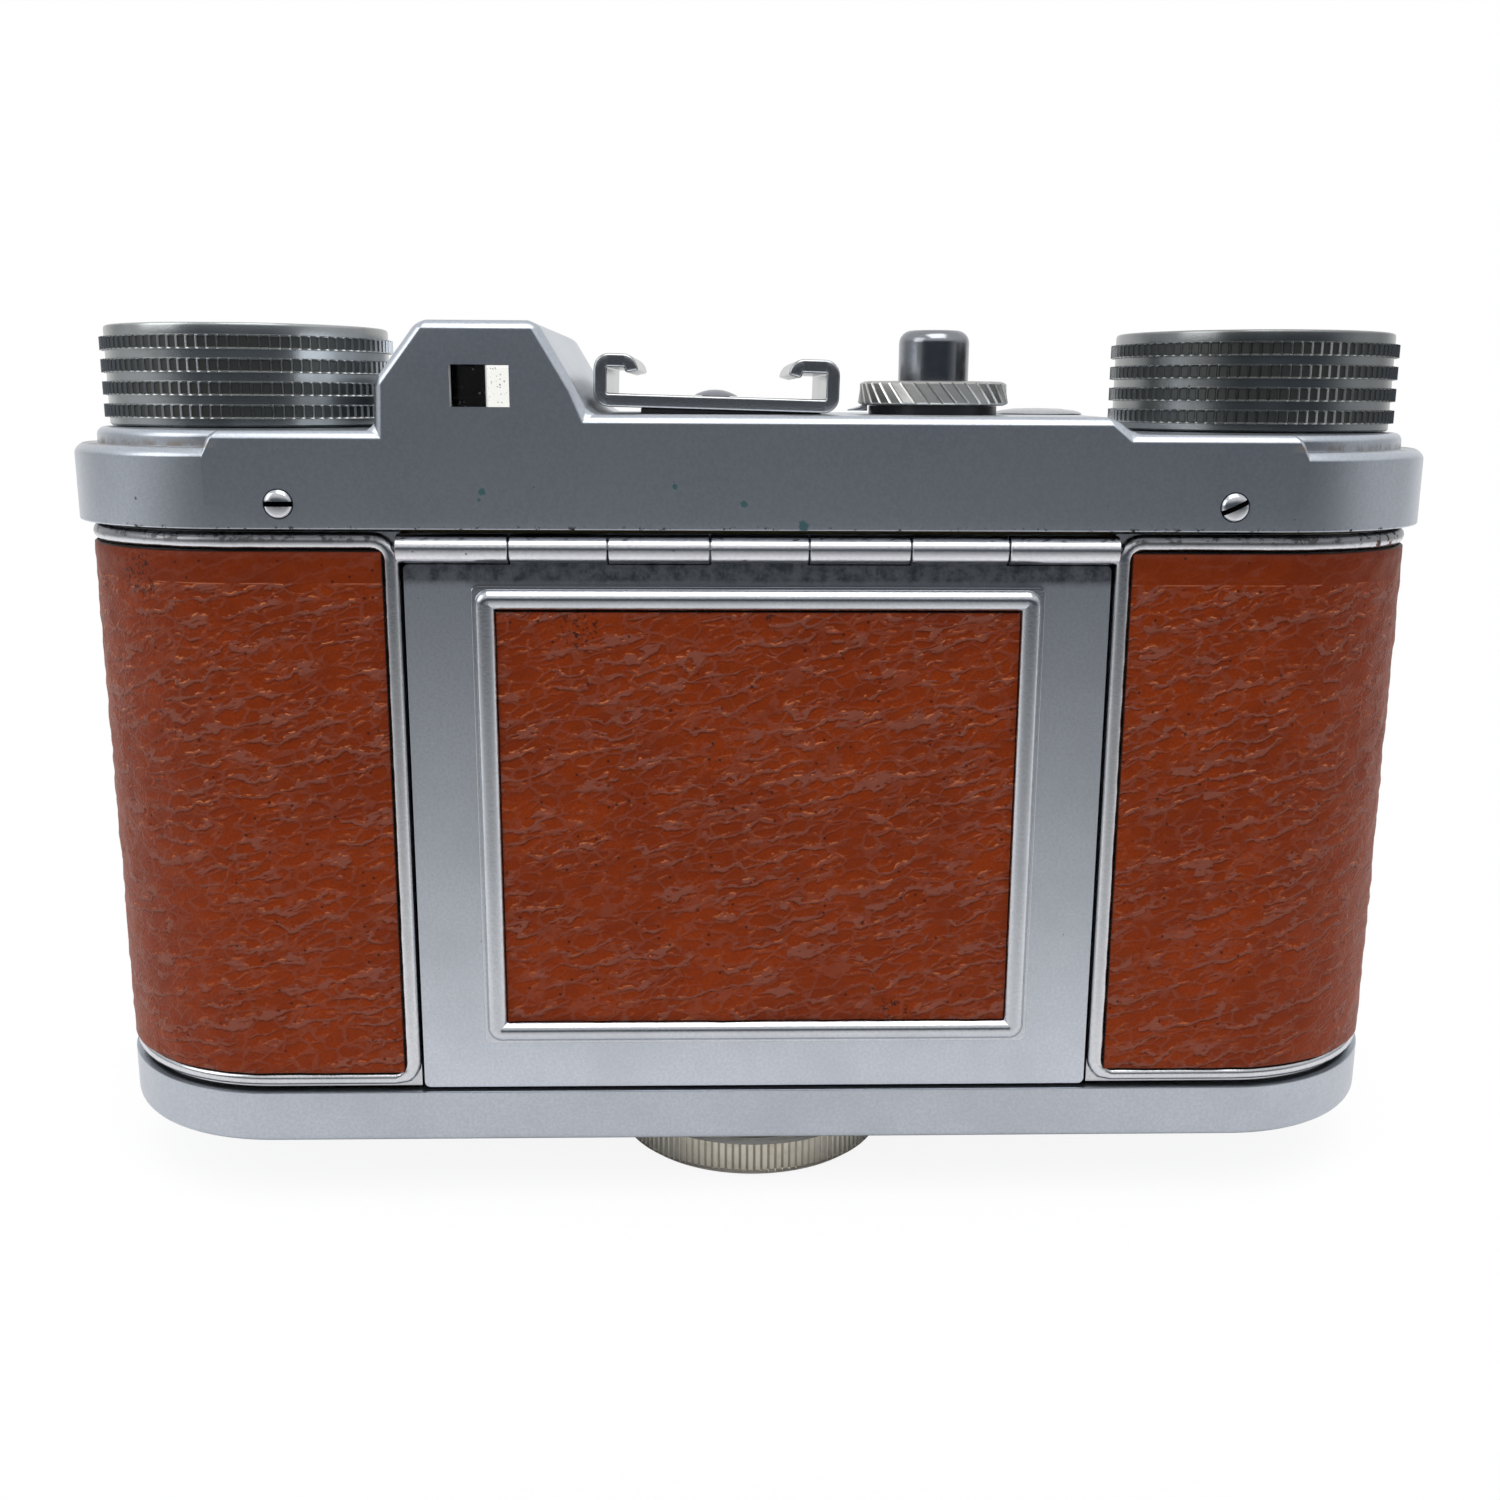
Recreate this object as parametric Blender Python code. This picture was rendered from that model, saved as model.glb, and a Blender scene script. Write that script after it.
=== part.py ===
"""Compact 35 mm viewfinder camera with a hinged rear flap and a lift-off base plate.

Sizes are millimetres in a body frame: x to the right seen from behind, y towards the lens,
z up from the base plate's lower edge. Meshes are scaled to metres when they are made.
"""
from math import asin, atan2, cos, pi, radians, sin, sqrt

import bmesh
import bpy
from mathutils import Matrix

MM = 0.001

# Outline of the body, seen from above: a stadium with round ends
END_X = 43.25
COVER_R = 17.75
BODY_R = 16.8
SKIN_T = 0.5
SKIN_FRONT_X = 14.0
FIT = 0.3
SHELL_R = BODY_R - SKIN_T - FIT
SHELL_INNER_R = 14.6
SHELL_INNER_END_X = 44.0

# Heights
BASE_TOP_Z = 4.88
SHELL_BOTTOM_Z = 5.2
ROLL_LOW_Z = (5.6, 6.86)
ROLL_HIGH_Z = (53.07, 54.6)
COVER_BOTTOM_Z = 54.9
LEDGE_Z = 61.1
PLATEAU_Z = 62.5
DECK_Z = 64.2
HUMP_Z = 71.57
COVER_WALL = 1.0
COVER_EDGE = 0.9
LEDGE_W = 1.95
DECK_END_X = 31.9

# Spools, knobs and film
SPOOL_X = 45.82
CHAMBER_R = 12.8
AXIS_Z = 29.8
FILM_Y = -12.0
GATE_HALF = (18.0, 12.0)
SPROCKET_X = 27.4
SPROCKET_R = 6.05
SPROCKET_Y = FILM_Y + SPROCKET_R
KNOB_R = 12.65
KNOB_Z = (62.9, 71.5)
KNOB_RINGS = 4
KNOB_RING_PITCH = 1.9
KNOB_RING_H = 1.14
SHAFT_R = 2.2
WIND_TEETH = 24
SPROCKET_TEETH = 16
GEAR_Z = (56.3, 58.3)

# Rear flap and its hinge
FLAP_HALF = 29.67
FLAP_Z = (5.35, 51.92)
FLAP_Y = (-16.3, -15.3)
BEZEL_OUT = (23.85, 9.72, 50.0)
BEZEL_IN = (21.99, 11.6, 48.05)
HINGE_Y = -16.25
HINGE_Z = 53.58
HINGE_R = 1.17
HINGE_BORE = 0.75
KNUCKLE_EDGES = (-30.15, -20.8, -12.6, -4.12, 4.12, 12.6, 20.8, 30.15)

# Lock knob under the base plate
LOCK_R = 12.8
LOCK_Z = (-6.0, -1.98)
STUD_R = 4.2
TRIPOD_R = 3.2

# Release, counter ring and accessory shoe on the deck
RELEASE_X = 16.4
BUTTON_R = 3.2
BUTTON_TOP_Z = 71.9
COUNTER_Z = (65.4, 67.4)
COUNTER_R = (6.9, 6.45)
COUNTER_TEETH = 40
UNLOCK_XY = (27.2, 5.0)
UNLOCK_R = 4.2
SHOE_X = -3.5
SHOE_HALF = 10.5
SHOE_Y = (-9.2, 9.8)
SHOE_SHEET = 0.8
SHOE_TILT = 2.7

# Finder, seen from behind
HUMP_OUTLINE = ((-30.6, 61.0), (-30.6, 66.6), (-30.3, 67.1), (-27.3, 71.2), (-26.6, HUMP_Z),
                (-18.3, HUMP_Z), (-17.7, 71.2), (-14.8, 66.8), (-14.3, 65.2), (-13.7, 64.0),
                (-13.7, 61.0))
HUMP_ROOM = ((-29.7, 60.0), (-29.7, 66.6), (-26.5, 70.6), (-18.5, 70.6), (-15.4, 66.0),
             (-14.7, 60.0))
EYEPIECE = (-24.8, -20.0, 64.76, 68.1)
FINDER_WINDOW = (-27.0, -18.1, 64.0, 68.8)

# Lens and shutter along their own axis, at AXIS_Z
PANEL_R = 26.5
PANEL_Y = (16.3, 18.3)
CASE_R = 23.3
CASE_Y = (18.6, 24.3, 30.2)
NOSE_R = 21.5
LENS_BORE = 12.6
FRONT_Y = 45.5

# The frame's origin is the middle of the part's box, on the surface that it stands on
SCREW_HEAD_Y = -18.2
BODY_Y = -(FRONT_Y + SCREW_HEAD_Y) / 2
BODY_Z = -LOCK_Z[0]

for old in list(bpy.data.objects):
    bpy.data.objects.remove(old, do_unlink=True)

body_frame = bpy.data.objects.new("body_frame", None)
body_frame.location = (0, BODY_Y * MM, BODY_Z * MM)
bpy.context.collection.objects.link(body_frame)


def finish(name, colour, roughness, metallic):
    """A Principled material for one kind of surface."""
    material = bpy.data.materials.new(name)
    material.use_nodes = True
    shader = material.node_tree.nodes["Principled BSDF"]
    shader.inputs["Base Color"].default_value = (*colour, 1.0)
    shader.inputs["Roughness"].default_value = roughness
    shader.inputs["Metallic"].default_value = metallic
    return material


SATIN = finish("satin_chrome", (0.55, 0.56, 0.58), 0.3, 1.0)
NICKEL = finish("knurled_nickel", (0.52, 0.51, 0.48), 0.35, 1.0)
BRIGHT = finish("bright_chrome", (0.72, 0.73, 0.75), 0.12, 1.0)
LEATHER = finish("brown_leather", (0.25, 0.045, 0.012), 0.5, 0.0)
BLACK = finish("black_paint", (0.02, 0.02, 0.022), 0.5, 0.0)
BRASS = finish("brass", (0.60, 0.44, 0.18), 0.35, 1.0)
STEEL = finish("spring_steel", (0.42, 0.42, 0.43), 0.3, 1.0)
ALLOY = finish("cast_alloy", (0.06, 0.06, 0.065), 0.6, 0.0)
GLASS = finish("coated_glass", (0.9, 0.93, 0.96), 0.02, 0.0)


def make(name, bm, material=None, at=(0, 0, 0), turn=(0, 0, 0)):
    """Turn a millimetre bmesh into a named object placed in the body frame."""
    bmesh.ops.remove_doubles(bm, verts=bm.verts, dist=0.0005)
    bmesh.ops.recalc_face_normals(bm, faces=bm.faces)
    bmesh.ops.scale(bm, vec=(MM, MM, MM), verts=bm.verts)
    mesh = bpy.data.meshes.new(name)
    bm.to_mesh(mesh)
    bm.free()
    mesh.shade_smooth()
    mesh.set_sharp_from_angle(angle=radians(35))
    thing = bpy.data.objects.new(name, mesh)
    thing.parent = body_frame
    thing.location = [value * MM for value in at]
    thing.rotation_euler = turn
    if material:
        mesh.materials.append(material)
    bpy.context.collection.objects.link(thing)
    return thing


def combine(target, bm, operation, at=(0, 0, 0), turn=(0, 0, 0)):
    """Cut a tool shape from an object, or join it on, with a live Boolean."""
    tool = make(f"{target.name}.tool", bm, at=at, turn=turn)
    tool.hide_render = True
    tool.display_type = "WIRE"
    step = target.modifiers.new(operation.lower(), "BOOLEAN")
    step.operation = operation
    step.object = tool


def cut(target, bm, at=(0, 0, 0), turn=(0, 0, 0)):
    combine(target, bm, "DIFFERENCE", at, turn)


def join(target, bm, at=(0, 0, 0), turn=(0, 0, 0)):
    combine(target, bm, "UNION", at, turn)


def loft(loops, ring=False):
    """Skin closed loops of points in turn; a ring also joins the last to the first."""
    bm = bmesh.new()
    rims = [[bm.verts.new(point) for point in points] for points in loops]
    following = rims[1:] + rims[:1] if ring else rims[1:]
    for low, high in zip(rims, following):
        for i in range(len(low)):
            bm.faces.new((low[i - 1], low[i], high[i], high[i - 1]))
    if not ring:
        bm.faces.new(rims[0])
        bm.faces.new(rims[-1])
    return bm


def level(outline, z):
    return [(x, y, z) for x, y in outline]


def prism(outline, z0, z1):
    """Extrude a flat outline upwards."""
    return loft([level(outline, z0), level(outline, z1)])


def extrude_x(outline, x0, x1):
    """Extrude a (y, z) outline along x."""
    return loft([[(x, y, z) for y, z in outline] for x in (x0, x1)])


def extrude_y(outline, y0, y1):
    """Extrude an (x, z) outline along y."""
    return loft([[(x, y, z) for x, z in outline] for y in (y0, y1)])


def rectangle(x0, x1, y0, y1):
    return [(x0, y0), (x1, y0), (x1, y1), (x0, y1)]


def circle(radius, steps=32, centre=(0, 0)):
    angles = [2 * pi * i / steps for i in range(steps)]
    return [(centre[0] + radius * cos(a), centre[1] + radius * sin(a)) for a in angles]


def stadium(radius, end_x=END_X, steps=12):
    """Two straight sides with round ends, seen from above."""
    outline = []
    for side, start in ((1, -pi / 2), (-1, pi / 2)):
        for i in range(steps + 1):
            a = start + pi * i / steps
            outline.append((side * end_x + radius * cos(a), radius * sin(a)))
    return outline


def turned(profile, steps=32, axis="Z"):
    """Spin a closed (radius, height) profile about z, or about y for the lens."""
    bm = bmesh.new()
    verts = [bm.verts.new((radius, 0, height)) for radius, height in profile]
    edges = [bm.edges.new(pair) for pair in zip(verts, verts[1:])]
    if profile[0][0] > 0 or profile[-1][0] > 0:
        edges.append(bm.edges.new((verts[-1], verts[0])))
    bmesh.ops.spin(bm, geom=verts + edges, cent=(0, 0, 0), axis=(0, 0, 1), angle=2 * pi,
                   steps=steps, use_merge=True)
    if axis == "Y":
        bmesh.ops.rotate(bm, verts=bm.verts, cent=(0, 0, 0), matrix=Matrix.Rotation(-pi / 2, 3, "X"))
    return bm


def washer(r_in, r_out, z0, z1):
    """Profile of a plain ring."""
    return [(r_in, z0), (r_out, z0), (r_out, z1), (r_in, z1)]


def toothed(teeth, tip, root, share):
    """Outline of a spur wheel; share is the part of the pitch that a tooth fills at its root."""
    outline = []
    for i in range(teeth):
        middle = 2 * pi * i / teeth
        half = pi * share / teeth
        corners = ((root, -half), (tip, -half * 0.5), (tip, half * 0.5), (root, half))
        outline += [(r * cos(middle + a), r * sin(middle + a)) for r, a in corners]
    return outline


def fluted(radius, depth, count, steps=2):
    """Outline of a grip ring with shallow scallops."""
    total = count * steps
    angles = [2 * pi * i / total for i in range(total)]
    radii = [radius - depth * (0.5 - 0.5 * cos(count * a)) for a in angles]
    return [(r * cos(a), r * sin(a)) for r, a in zip(radii, angles)]


def lens_axis(name, bm, material):
    """A piece of the lens, with its origin on the lens axis."""
    return make(name, bm, material, at=(0, 0, AXIS_Z))


def build_body():
    """Pressed shell, cast inner chassis, mechanism plate and the two leather skins."""
    low, high = ROLL_LOW_Z
    low_top, high_top = ROLL_HIGH_Z
    lip = 0.35
    outside = [(SHELL_BOTTOM_Z, SHELL_R), (low, SHELL_R), (low, BODY_R - lip), (low + lip, BODY_R),
               (high - lip, BODY_R), (high, BODY_R - lip), (high, SHELL_R), (low_top, SHELL_R),
               (low_top, BODY_R - lip), (low_top + lip, BODY_R), (high_top - lip, BODY_R),
               (high_top, BODY_R - lip)]
    loops = [level(stadium(radius), z) for z, radius in outside]
    inside = stadium(SHELL_INNER_R, SHELL_INNER_END_X)
    loops += [level(inside, high_top), level(inside, SHELL_BOTTOM_Z)]
    shell = make("body_shell", loft(loops, ring=True), SATIN)
    opening = FLAP_HALF + 0.25
    cut(shell, prism(rectangle(-opening, opening, -20, -10), 0, 60))
    for side in (-1, 1):
        join(shell, prism(circle(0.8, 10, (side * (opening + 0.8), -SHELL_R)), low, HINGE_Z - HINGE_R - FIT))
    hinge_room = KNUCKLE_EDGES[-1] + FIT
    cut(shell, prism(rectangle(-hinge_room, hinge_room, -20, -10), HINGE_Z - HINGE_R - FIT, 60))
    cut(shell, turned([(0, 10), (15.2, 10), (15.2, 20), (0, 20)], 32, "Y"), at=(0, 0, AXIS_Z))

    rail_in, rail_out, floor = FILM_Y, FILM_Y - 0.2, FILM_Y + 0.6
    half = [(14.3, 52.3), (-13.7, 52.3), (-13.7, 49.6), (floor, 49.6), (floor, 47.9),
            (rail_out, 47.9), (rail_out, 47.45), (floor, 47.45), (floor, 44.2), (rail_in, 44.2),
            (rail_in, 42.4), (floor, 42.4)]
    lower = [(y, 2 * AXIS_Z - z) for y, z in reversed(half[3:])]
    profile = half + lower + [(floor, SHELL_BOTTOM_Z), (14.3, SHELL_BOTTOM_Z)]
    chassis = make("chassis", extrude_x(profile, -36.2, 36.2), ALLOY)
    for side in (-1, 1):
        cut(chassis, prism(circle(CHAMBER_R, 36, (side * SPOOL_X, 0)), 0, 60))
    cut(chassis, light_tunnel())
    cut(chassis, prism(circle(7.7, 24, (SPROCKET_X, SPROCKET_Y)), 9.5, 60))
    cut(chassis, prism(circle(1.9, 12, (SPROCKET_X, SPROCKET_Y)), 0, 20))
    cut(chassis, prism(circle(6.8, 20), 0, 12.0))

    plate = make("mechanism_plate", prism(stadium(13.3, 44.9), 52.65, 54.5), BRASS)
    for x, y, radius in ((SPOOL_X, 0, 4.0), (-SPOOL_X, 0, 4.0), (SPROCKET_X, SPROCKET_Y, 1.9),
                         (RELEASE_X, 0, 1.9)):
        cut(plate, prism(circle(radius, 16, (x, y)), 50, 58))

    skin_z = (ROLL_LOW_Z[1] + 0.1, ROLL_HIGH_Z[0] - 0.1)
    for name, side in (("left_leather", -1), ("right_leather", 1)):
        skin = make(name, prism(skin_outline(side), *skin_z), LEATHER)
        around_panel = [(0, 14), (PANEL_R + 0.4, 14), (PANEL_R + 0.4, 20), (0, 20)]
        cut(skin, turned(around_panel, 32, "Y"), at=(0, 0, AXIS_Z))


def skin_outline(side):
    """Strip of leather from the flap's edge round one end to the lens panel."""
    def path(radius):
        bend = [-pi / 2 + pi * i / 18 for i in range(19)]
        arc = [(END_X + radius * cos(a), radius * sin(a)) for a in bend]
        return [(FLAP_HALF + 2.15, -radius)] + arc + [(SKIN_FRONT_X, radius)]
    strip = path(BODY_R) + path(BODY_R - SKIN_T)[::-1]
    return [(side * x, y) for x, y in strip]


def light_tunnel():
    """Loft from the round lens opening to the picture gate."""
    per_side = 6
    wide, tall = GATE_HALF
    corners = [(wide, -tall), (wide, tall), (-wide, tall), (-wide, -tall)]
    gate, round_end = [], []
    for (x0, z0), (x1, z1) in zip(corners, corners[1:] + corners[:1]):
        for i in range(per_side):
            t = i / per_side
            x, z = x0 + (x1 - x0) * t, z0 + (z1 - z0) * t
            angle = atan2(z, x)
            gate.append((x, AXIS_Z + z))
            round_end.append((15.0 * cos(angle), AXIS_Z + 15.0 * sin(angle)))
    return loft([[(x, -13.0, z) for x, z in gate], [(x, -10.5, z) for x, z in gate],
                 [(x, 15.0, z) for x, z in round_end]])


def deck_outline(inset):
    return rectangle(-20 + inset, DECK_END_X - inset, -COVER_R + inset, COVER_R - inset)


def skirt_outline(inset):
    return stadium(COVER_R - inset)


def cover_block(outline, top):
    """A block of the top cover with its upper edge rounded over."""
    steps = ((0, COVER_BOTTOM_Z), (0, top - COVER_EDGE), (COVER_EDGE * 0.3, top - COVER_EDGE * 0.3),
             (COVER_EDGE, top))
    return loft([level(outline(inset), z) for inset, z in steps])


def plateau_outline(inset):
    """Knob plateau: full depth along the sides, drawn in by the ledge round the ends."""
    end_r = COVER_R - LEDGE_W - inset
    side_y = COVER_R - inset
    step_x = END_X + 0.7 - inset
    reach = radians(76)
    outline = []
    for side in (1, -1):
        arc = [reach * (i / 8 - 1) for i in range(17)]
        outline.append((side * step_x, -side * side_y))
        outline += [(side * (END_X + end_r * cos(a)), side * end_r * sin(a)) for a in arc]
        outline.append((side * step_x, side * side_y))
    return outline


def build_cover():
    """Top cover with its ledge, knob plateaus, deck and finder hump, open below."""
    blocks = ((skirt_outline, LEDGE_Z), (plateau_outline, PLATEAU_Z), (deck_outline, DECK_Z))
    cover = make("top_cover", cover_block(*blocks[0]), SATIN)
    for outline, top in blocks[1:]:
        join(cover, cover_block(outline, top))
    join(cover, finder_hump())
    for outline, top in blocks:
        cut(cover, prism(outline(COVER_WALL), COVER_BOTTOM_Z - 1, top - COVER_WALL))
    inner = COVER_R - COVER_WALL
    cut(cover, extrude_y(HUMP_ROOM, -inner, inner))
    for side in (-1, 1):
        cut(cover, prism(circle(3.2, 20, (side * SPOOL_X, 0)), 58, 66))
    cut(cover, prism(circle(BUTTON_R + 0.4, 20, (RELEASE_X, 0)), 58, 68))
    cut(cover, prism(circle(UNLOCK_R + FIT, 20, UNLOCK_XY), 58, 68))
    cut(cover, extrude_y(rectangle(*EYEPIECE), -20, -10))
    cut(cover, extrude_y(rectangle(*FINDER_WINDOW), 10, 20))
    for name, side in (("cover_screw_left", -1), ("cover_screw_right", 1)):
        cut(cover, turned([(0, -20), (1.45, -20), (1.45, -14), (0, -14)], 12, "Y"),
            at=(side * 39.24, 0, 57.3))
        head = [(0, -14.5), (0.8, -14.5), (0.8, -17.3), (1.15, -17.3), (1.15, -17.8), (0.85, -18.08),
                (0, SCREW_HEAD_Y)]
        screw = make(name, turned(head, 12, "Y"), BRIGHT, at=(side * 39.24, 0, 57.3))
        slot_turn = 0 if side < 0 else radians(-20)
        cut(screw, extrude_y(rectangle(-2, 2, -0.16, 0.16), -19, -17.85),
            at=(side * 39.24, 0, 57.3), turn=(0, slot_turn, 0))


def drawn_in(outline, inset):
    """Offset a clockwise (x, z) outline inwards by a constant distance."""
    moved = []
    for i, (x, z) in enumerate(outline):
        (x0, z0), (x1, z1) = outline[i - 1], outline[(i + 1) % len(outline)]
        a, b = atan2(z - z0, x - x0), atan2(z1 - z, x1 - x)
        middle = (a + b) / 2 if abs(a - b) <= pi else (a + b) / 2 + pi
        step = inset / cos((a - b) / 2) if abs(a - b) <= pi else -inset / cos((a - b) / 2)
        moved.append((x + step * sin(middle), z - step * cos(middle)))
    return moved


def finder_hump():
    """Finder housing across the cover, with its front and rear edges rounded over."""
    soft = 0.8
    ends = ((soft, COVER_R), (soft * 0.3, COVER_R - soft * 0.3), (0, COVER_R - soft))
    steps = [(inset, -y) for inset, y in ends] + [(inset, y) for inset, y in reversed(ends)]
    return loft([[(x, y, z) for x, z in drawn_in(HUMP_OUTLINE, inset)] for inset, y in steps])


def build_finder():
    """Tapered finder tube with its eyepiece and front window glasses."""
    def section(y, x0, x1, z0, z1, inset):
        flat = rectangle(x0 + inset, x1 - inset, z0 + inset, z1 - inset)
        return [(x, y, z) for x, z in flat]
    ends = ((-16.4, -26.2, -18.6, 63.4, 69.6), (16.4, -27.5, -17.6, 63.4, 69.2))
    loops = [section(*ends[0], 0), section(*ends[1], 0), section(*ends[1], 0.5), section(*ends[0], 0.5)]
    make("finder_tube", loft(loops, ring=True), BLACK)
    make("eyepiece_glass", extrude_y(rectangle(-25.3, -19.5, 64.3, 68.7), -16.3, -15.3), GLASS)
    make("finder_window", extrude_y(rectangle(-26.6, -18.5, 64.3, 68.4), 15.0, 16.2), GLASS)


def knuckles(first):
    """Every other length of the hinge barrel, as x ranges with a running gap."""
    spans = list(zip(KNUCKLE_EDGES, KNUCKLE_EDGES[1:]))[first::2]
    return [(x0 + 0.15, x1 - 0.15) for x0, x1 in spans]


def barrel(x0, x1):
    outline = [(HINGE_Y + y, HINGE_Z + z) for y, z in circle(HINGE_R, 12)]
    return extrude_x(outline, x0, x1)


def hinge_bore():
    outline = [(HINGE_Y + y, HINGE_Z + z) for y, z in circle(HINGE_BORE, 8)]
    return extrude_x(outline, -40, 40)


def on_hinge(name, bm, material):
    """A piece of the flap, with its origin on the hinge axis."""
    bmesh.ops.translate(bm, verts=bm.verts, vec=(0, -HINGE_Y, -HINGE_Z))
    return make(name, bm, material, at=(0, HINGE_Y, HINGE_Z))


def frame_loops(outer, steps):
    """Rectangular loops round the flap's frame: (inset, y) for each step across its width."""
    half, low, high = outer
    loops = []
    for inset, y in steps:
        flat = rectangle(-half + inset, half - inset, low + inset, high - inset)
        loops.append([(x, y, z) for x, z in flat])
    return loops


def build_flap():
    """Rear flap on its piano hinge, with bezel, leather and the film pressure plate."""
    leaf = make("hinge_leaf", extrude_x(rectangle(-14.75, -14.0, 50.0, 54.4), -29.4, 29.4), SATIN)
    for x0, x1 in knuckles(0):
        join(leaf, barrel(x0, x1))
        web = min(x1, 29.2) if x1 > 0 else x1
        join(leaf, extrude_x(rectangle(HINGE_Y, -14.4, 53.2, 54.3), max(x0, -29.2), web))
    cut(leaf, hinge_bore())
    pin = [(HINGE_Y + y, HINGE_Z + z) for y, z in circle(HINGE_BORE - FIT, 8)]
    make("hinge_pin", extrude_x(pin, -30.0, 30.0), STEEL)

    flap = on_hinge("back_flap", extrude_y(rectangle(-FLAP_HALF, FLAP_HALF, *FLAP_Z), *FLAP_Y), SATIN)
    for x0, x1 in knuckles(1):
        join(flap, barrel(x0, x1))
        join(flap, extrude_x(rectangle(*FLAP_Y, FLAP_Z[1] - 1, HINGE_Z), x0, x1))
    trap = ((1.3, FLAP_Y[1] - 0.2), (1.3, -14.3), (2.2, -14.3), (2.2, FLAP_Y[1] - 0.2))
    join(flap, loft(frame_loops((FLAP_HALF, FLAP_Z[0], 50.4), trap), ring=True))
    cut(flap, hinge_bore())

    seat = FLAP_Y[0] - FIT
    bead = [(0, seat), (0, seat - 0.3), (0.5, seat - 0.3)]
    width = BEZEL_OUT[0] - BEZEL_IN[0]
    crown = (width - 0.5) / 2
    bead += [(0.5 + crown * (1 - cos(a)), seat - 0.3 - 0.55 * sin(a))
             for a in (pi / 6, pi / 3, pi / 2, 2 * pi / 3, 5 * pi / 6)]
    bead += [(width, seat - 0.3), (width, seat)]
    on_hinge("flap_bezel", loft(frame_loops(BEZEL_OUT, bead), ring=True), SATIN)
    half, low, high = BEZEL_IN
    pad = rectangle(-half + FIT, half - FIT, low + FIT, high - FIT)
    on_hinge("flap_leather", extrude_y(pad, seat, seat - 0.45), LEATHER)

    plate = extrude_y(rectangle(-22.5, 22.5, 13.0, 46.6), -13.5, -12.5)
    on_hinge("pressure_plate", plate, BLACK)
    bow = [(x, -13.75 - 1.0 * (1 - (x / 18) ** 2)) for x in (-18, -12, -6, 0, 6, 12, 18)]
    strip = bow + [(x, y - 0.25) for x, y in reversed(bow)]
    on_hinge("pressure_spring", prism(strip, 25.0, 34.6), STEEL)


def build_base():
    """Base plate pressed as a shallow tray, with the lock knob that holds it on."""
    wall = 15.8
    tray = [(15.6, 0.0), (16.4, 0.25), (16.8, 0.9), (16.8, BASE_TOP_Z), (wall, BASE_TOP_Z), (wall, 1.0)]
    base = make("base_plate", loft([level(stadium(r), z) for r, z in tray]), SATIN)
    cut(base, prism(circle(STUD_R + FIT, 24), -2, 3))
    foot, top = LOCK_Z
    knob = [(0, 0.5), (TRIPOD_R, 0.5), (TRIPOD_R, foot), (11.9, foot), (LOCK_R, foot + 0.6),
            (LOCK_R, top - 0.6), (12.1, top), (7.0, top), (7.0, -0.35), (STUD_R, -0.35), (STUD_R, 9.0),
            (0, 9.0)]
    make("lock_knob", turned(knob, 32), NICKEL)
    make("lock_washer", turned(washer(STUD_R + FIT, 7.4, 1.3, 2.3), 20), STEEL)
    make("lock_bush", turned(washer(STUD_R + FIT, 6.5, 5.5, 11.7), 20), BRASS)


def knob_profile():
    """Ribbed knob with a hub and a hollow skirt, from the top centre round to the bore."""
    low, high = KNOB_Z
    groove = KNOB_R - 0.35
    profile = [(0, 69.6), (SHAFT_R + FIT, 69.6), (SHAFT_R + FIT, low), (5.2, low), (5.2, 67.5),
               (10.3, 67.5), (10.3, low), (KNOB_R - 0.6, low), (KNOB_R - 0.6, low + 0.9)]
    for i in range(KNOB_RINGS):
        z = low + 0.95 + i * KNOB_RING_PITCH
        profile += [(groove, z), (KNOB_R, z), (KNOB_R, z + KNOB_RING_H), (groove, z + KNOB_RING_H)]
    return profile + [(KNOB_R - 0.5, high - 0.9), (KNOB_R - 0.5, high - 0.3), (KNOB_R - 1.2, high),
                      (1.9, high), (1.9, 70.4), (0, 70.4)]


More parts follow.
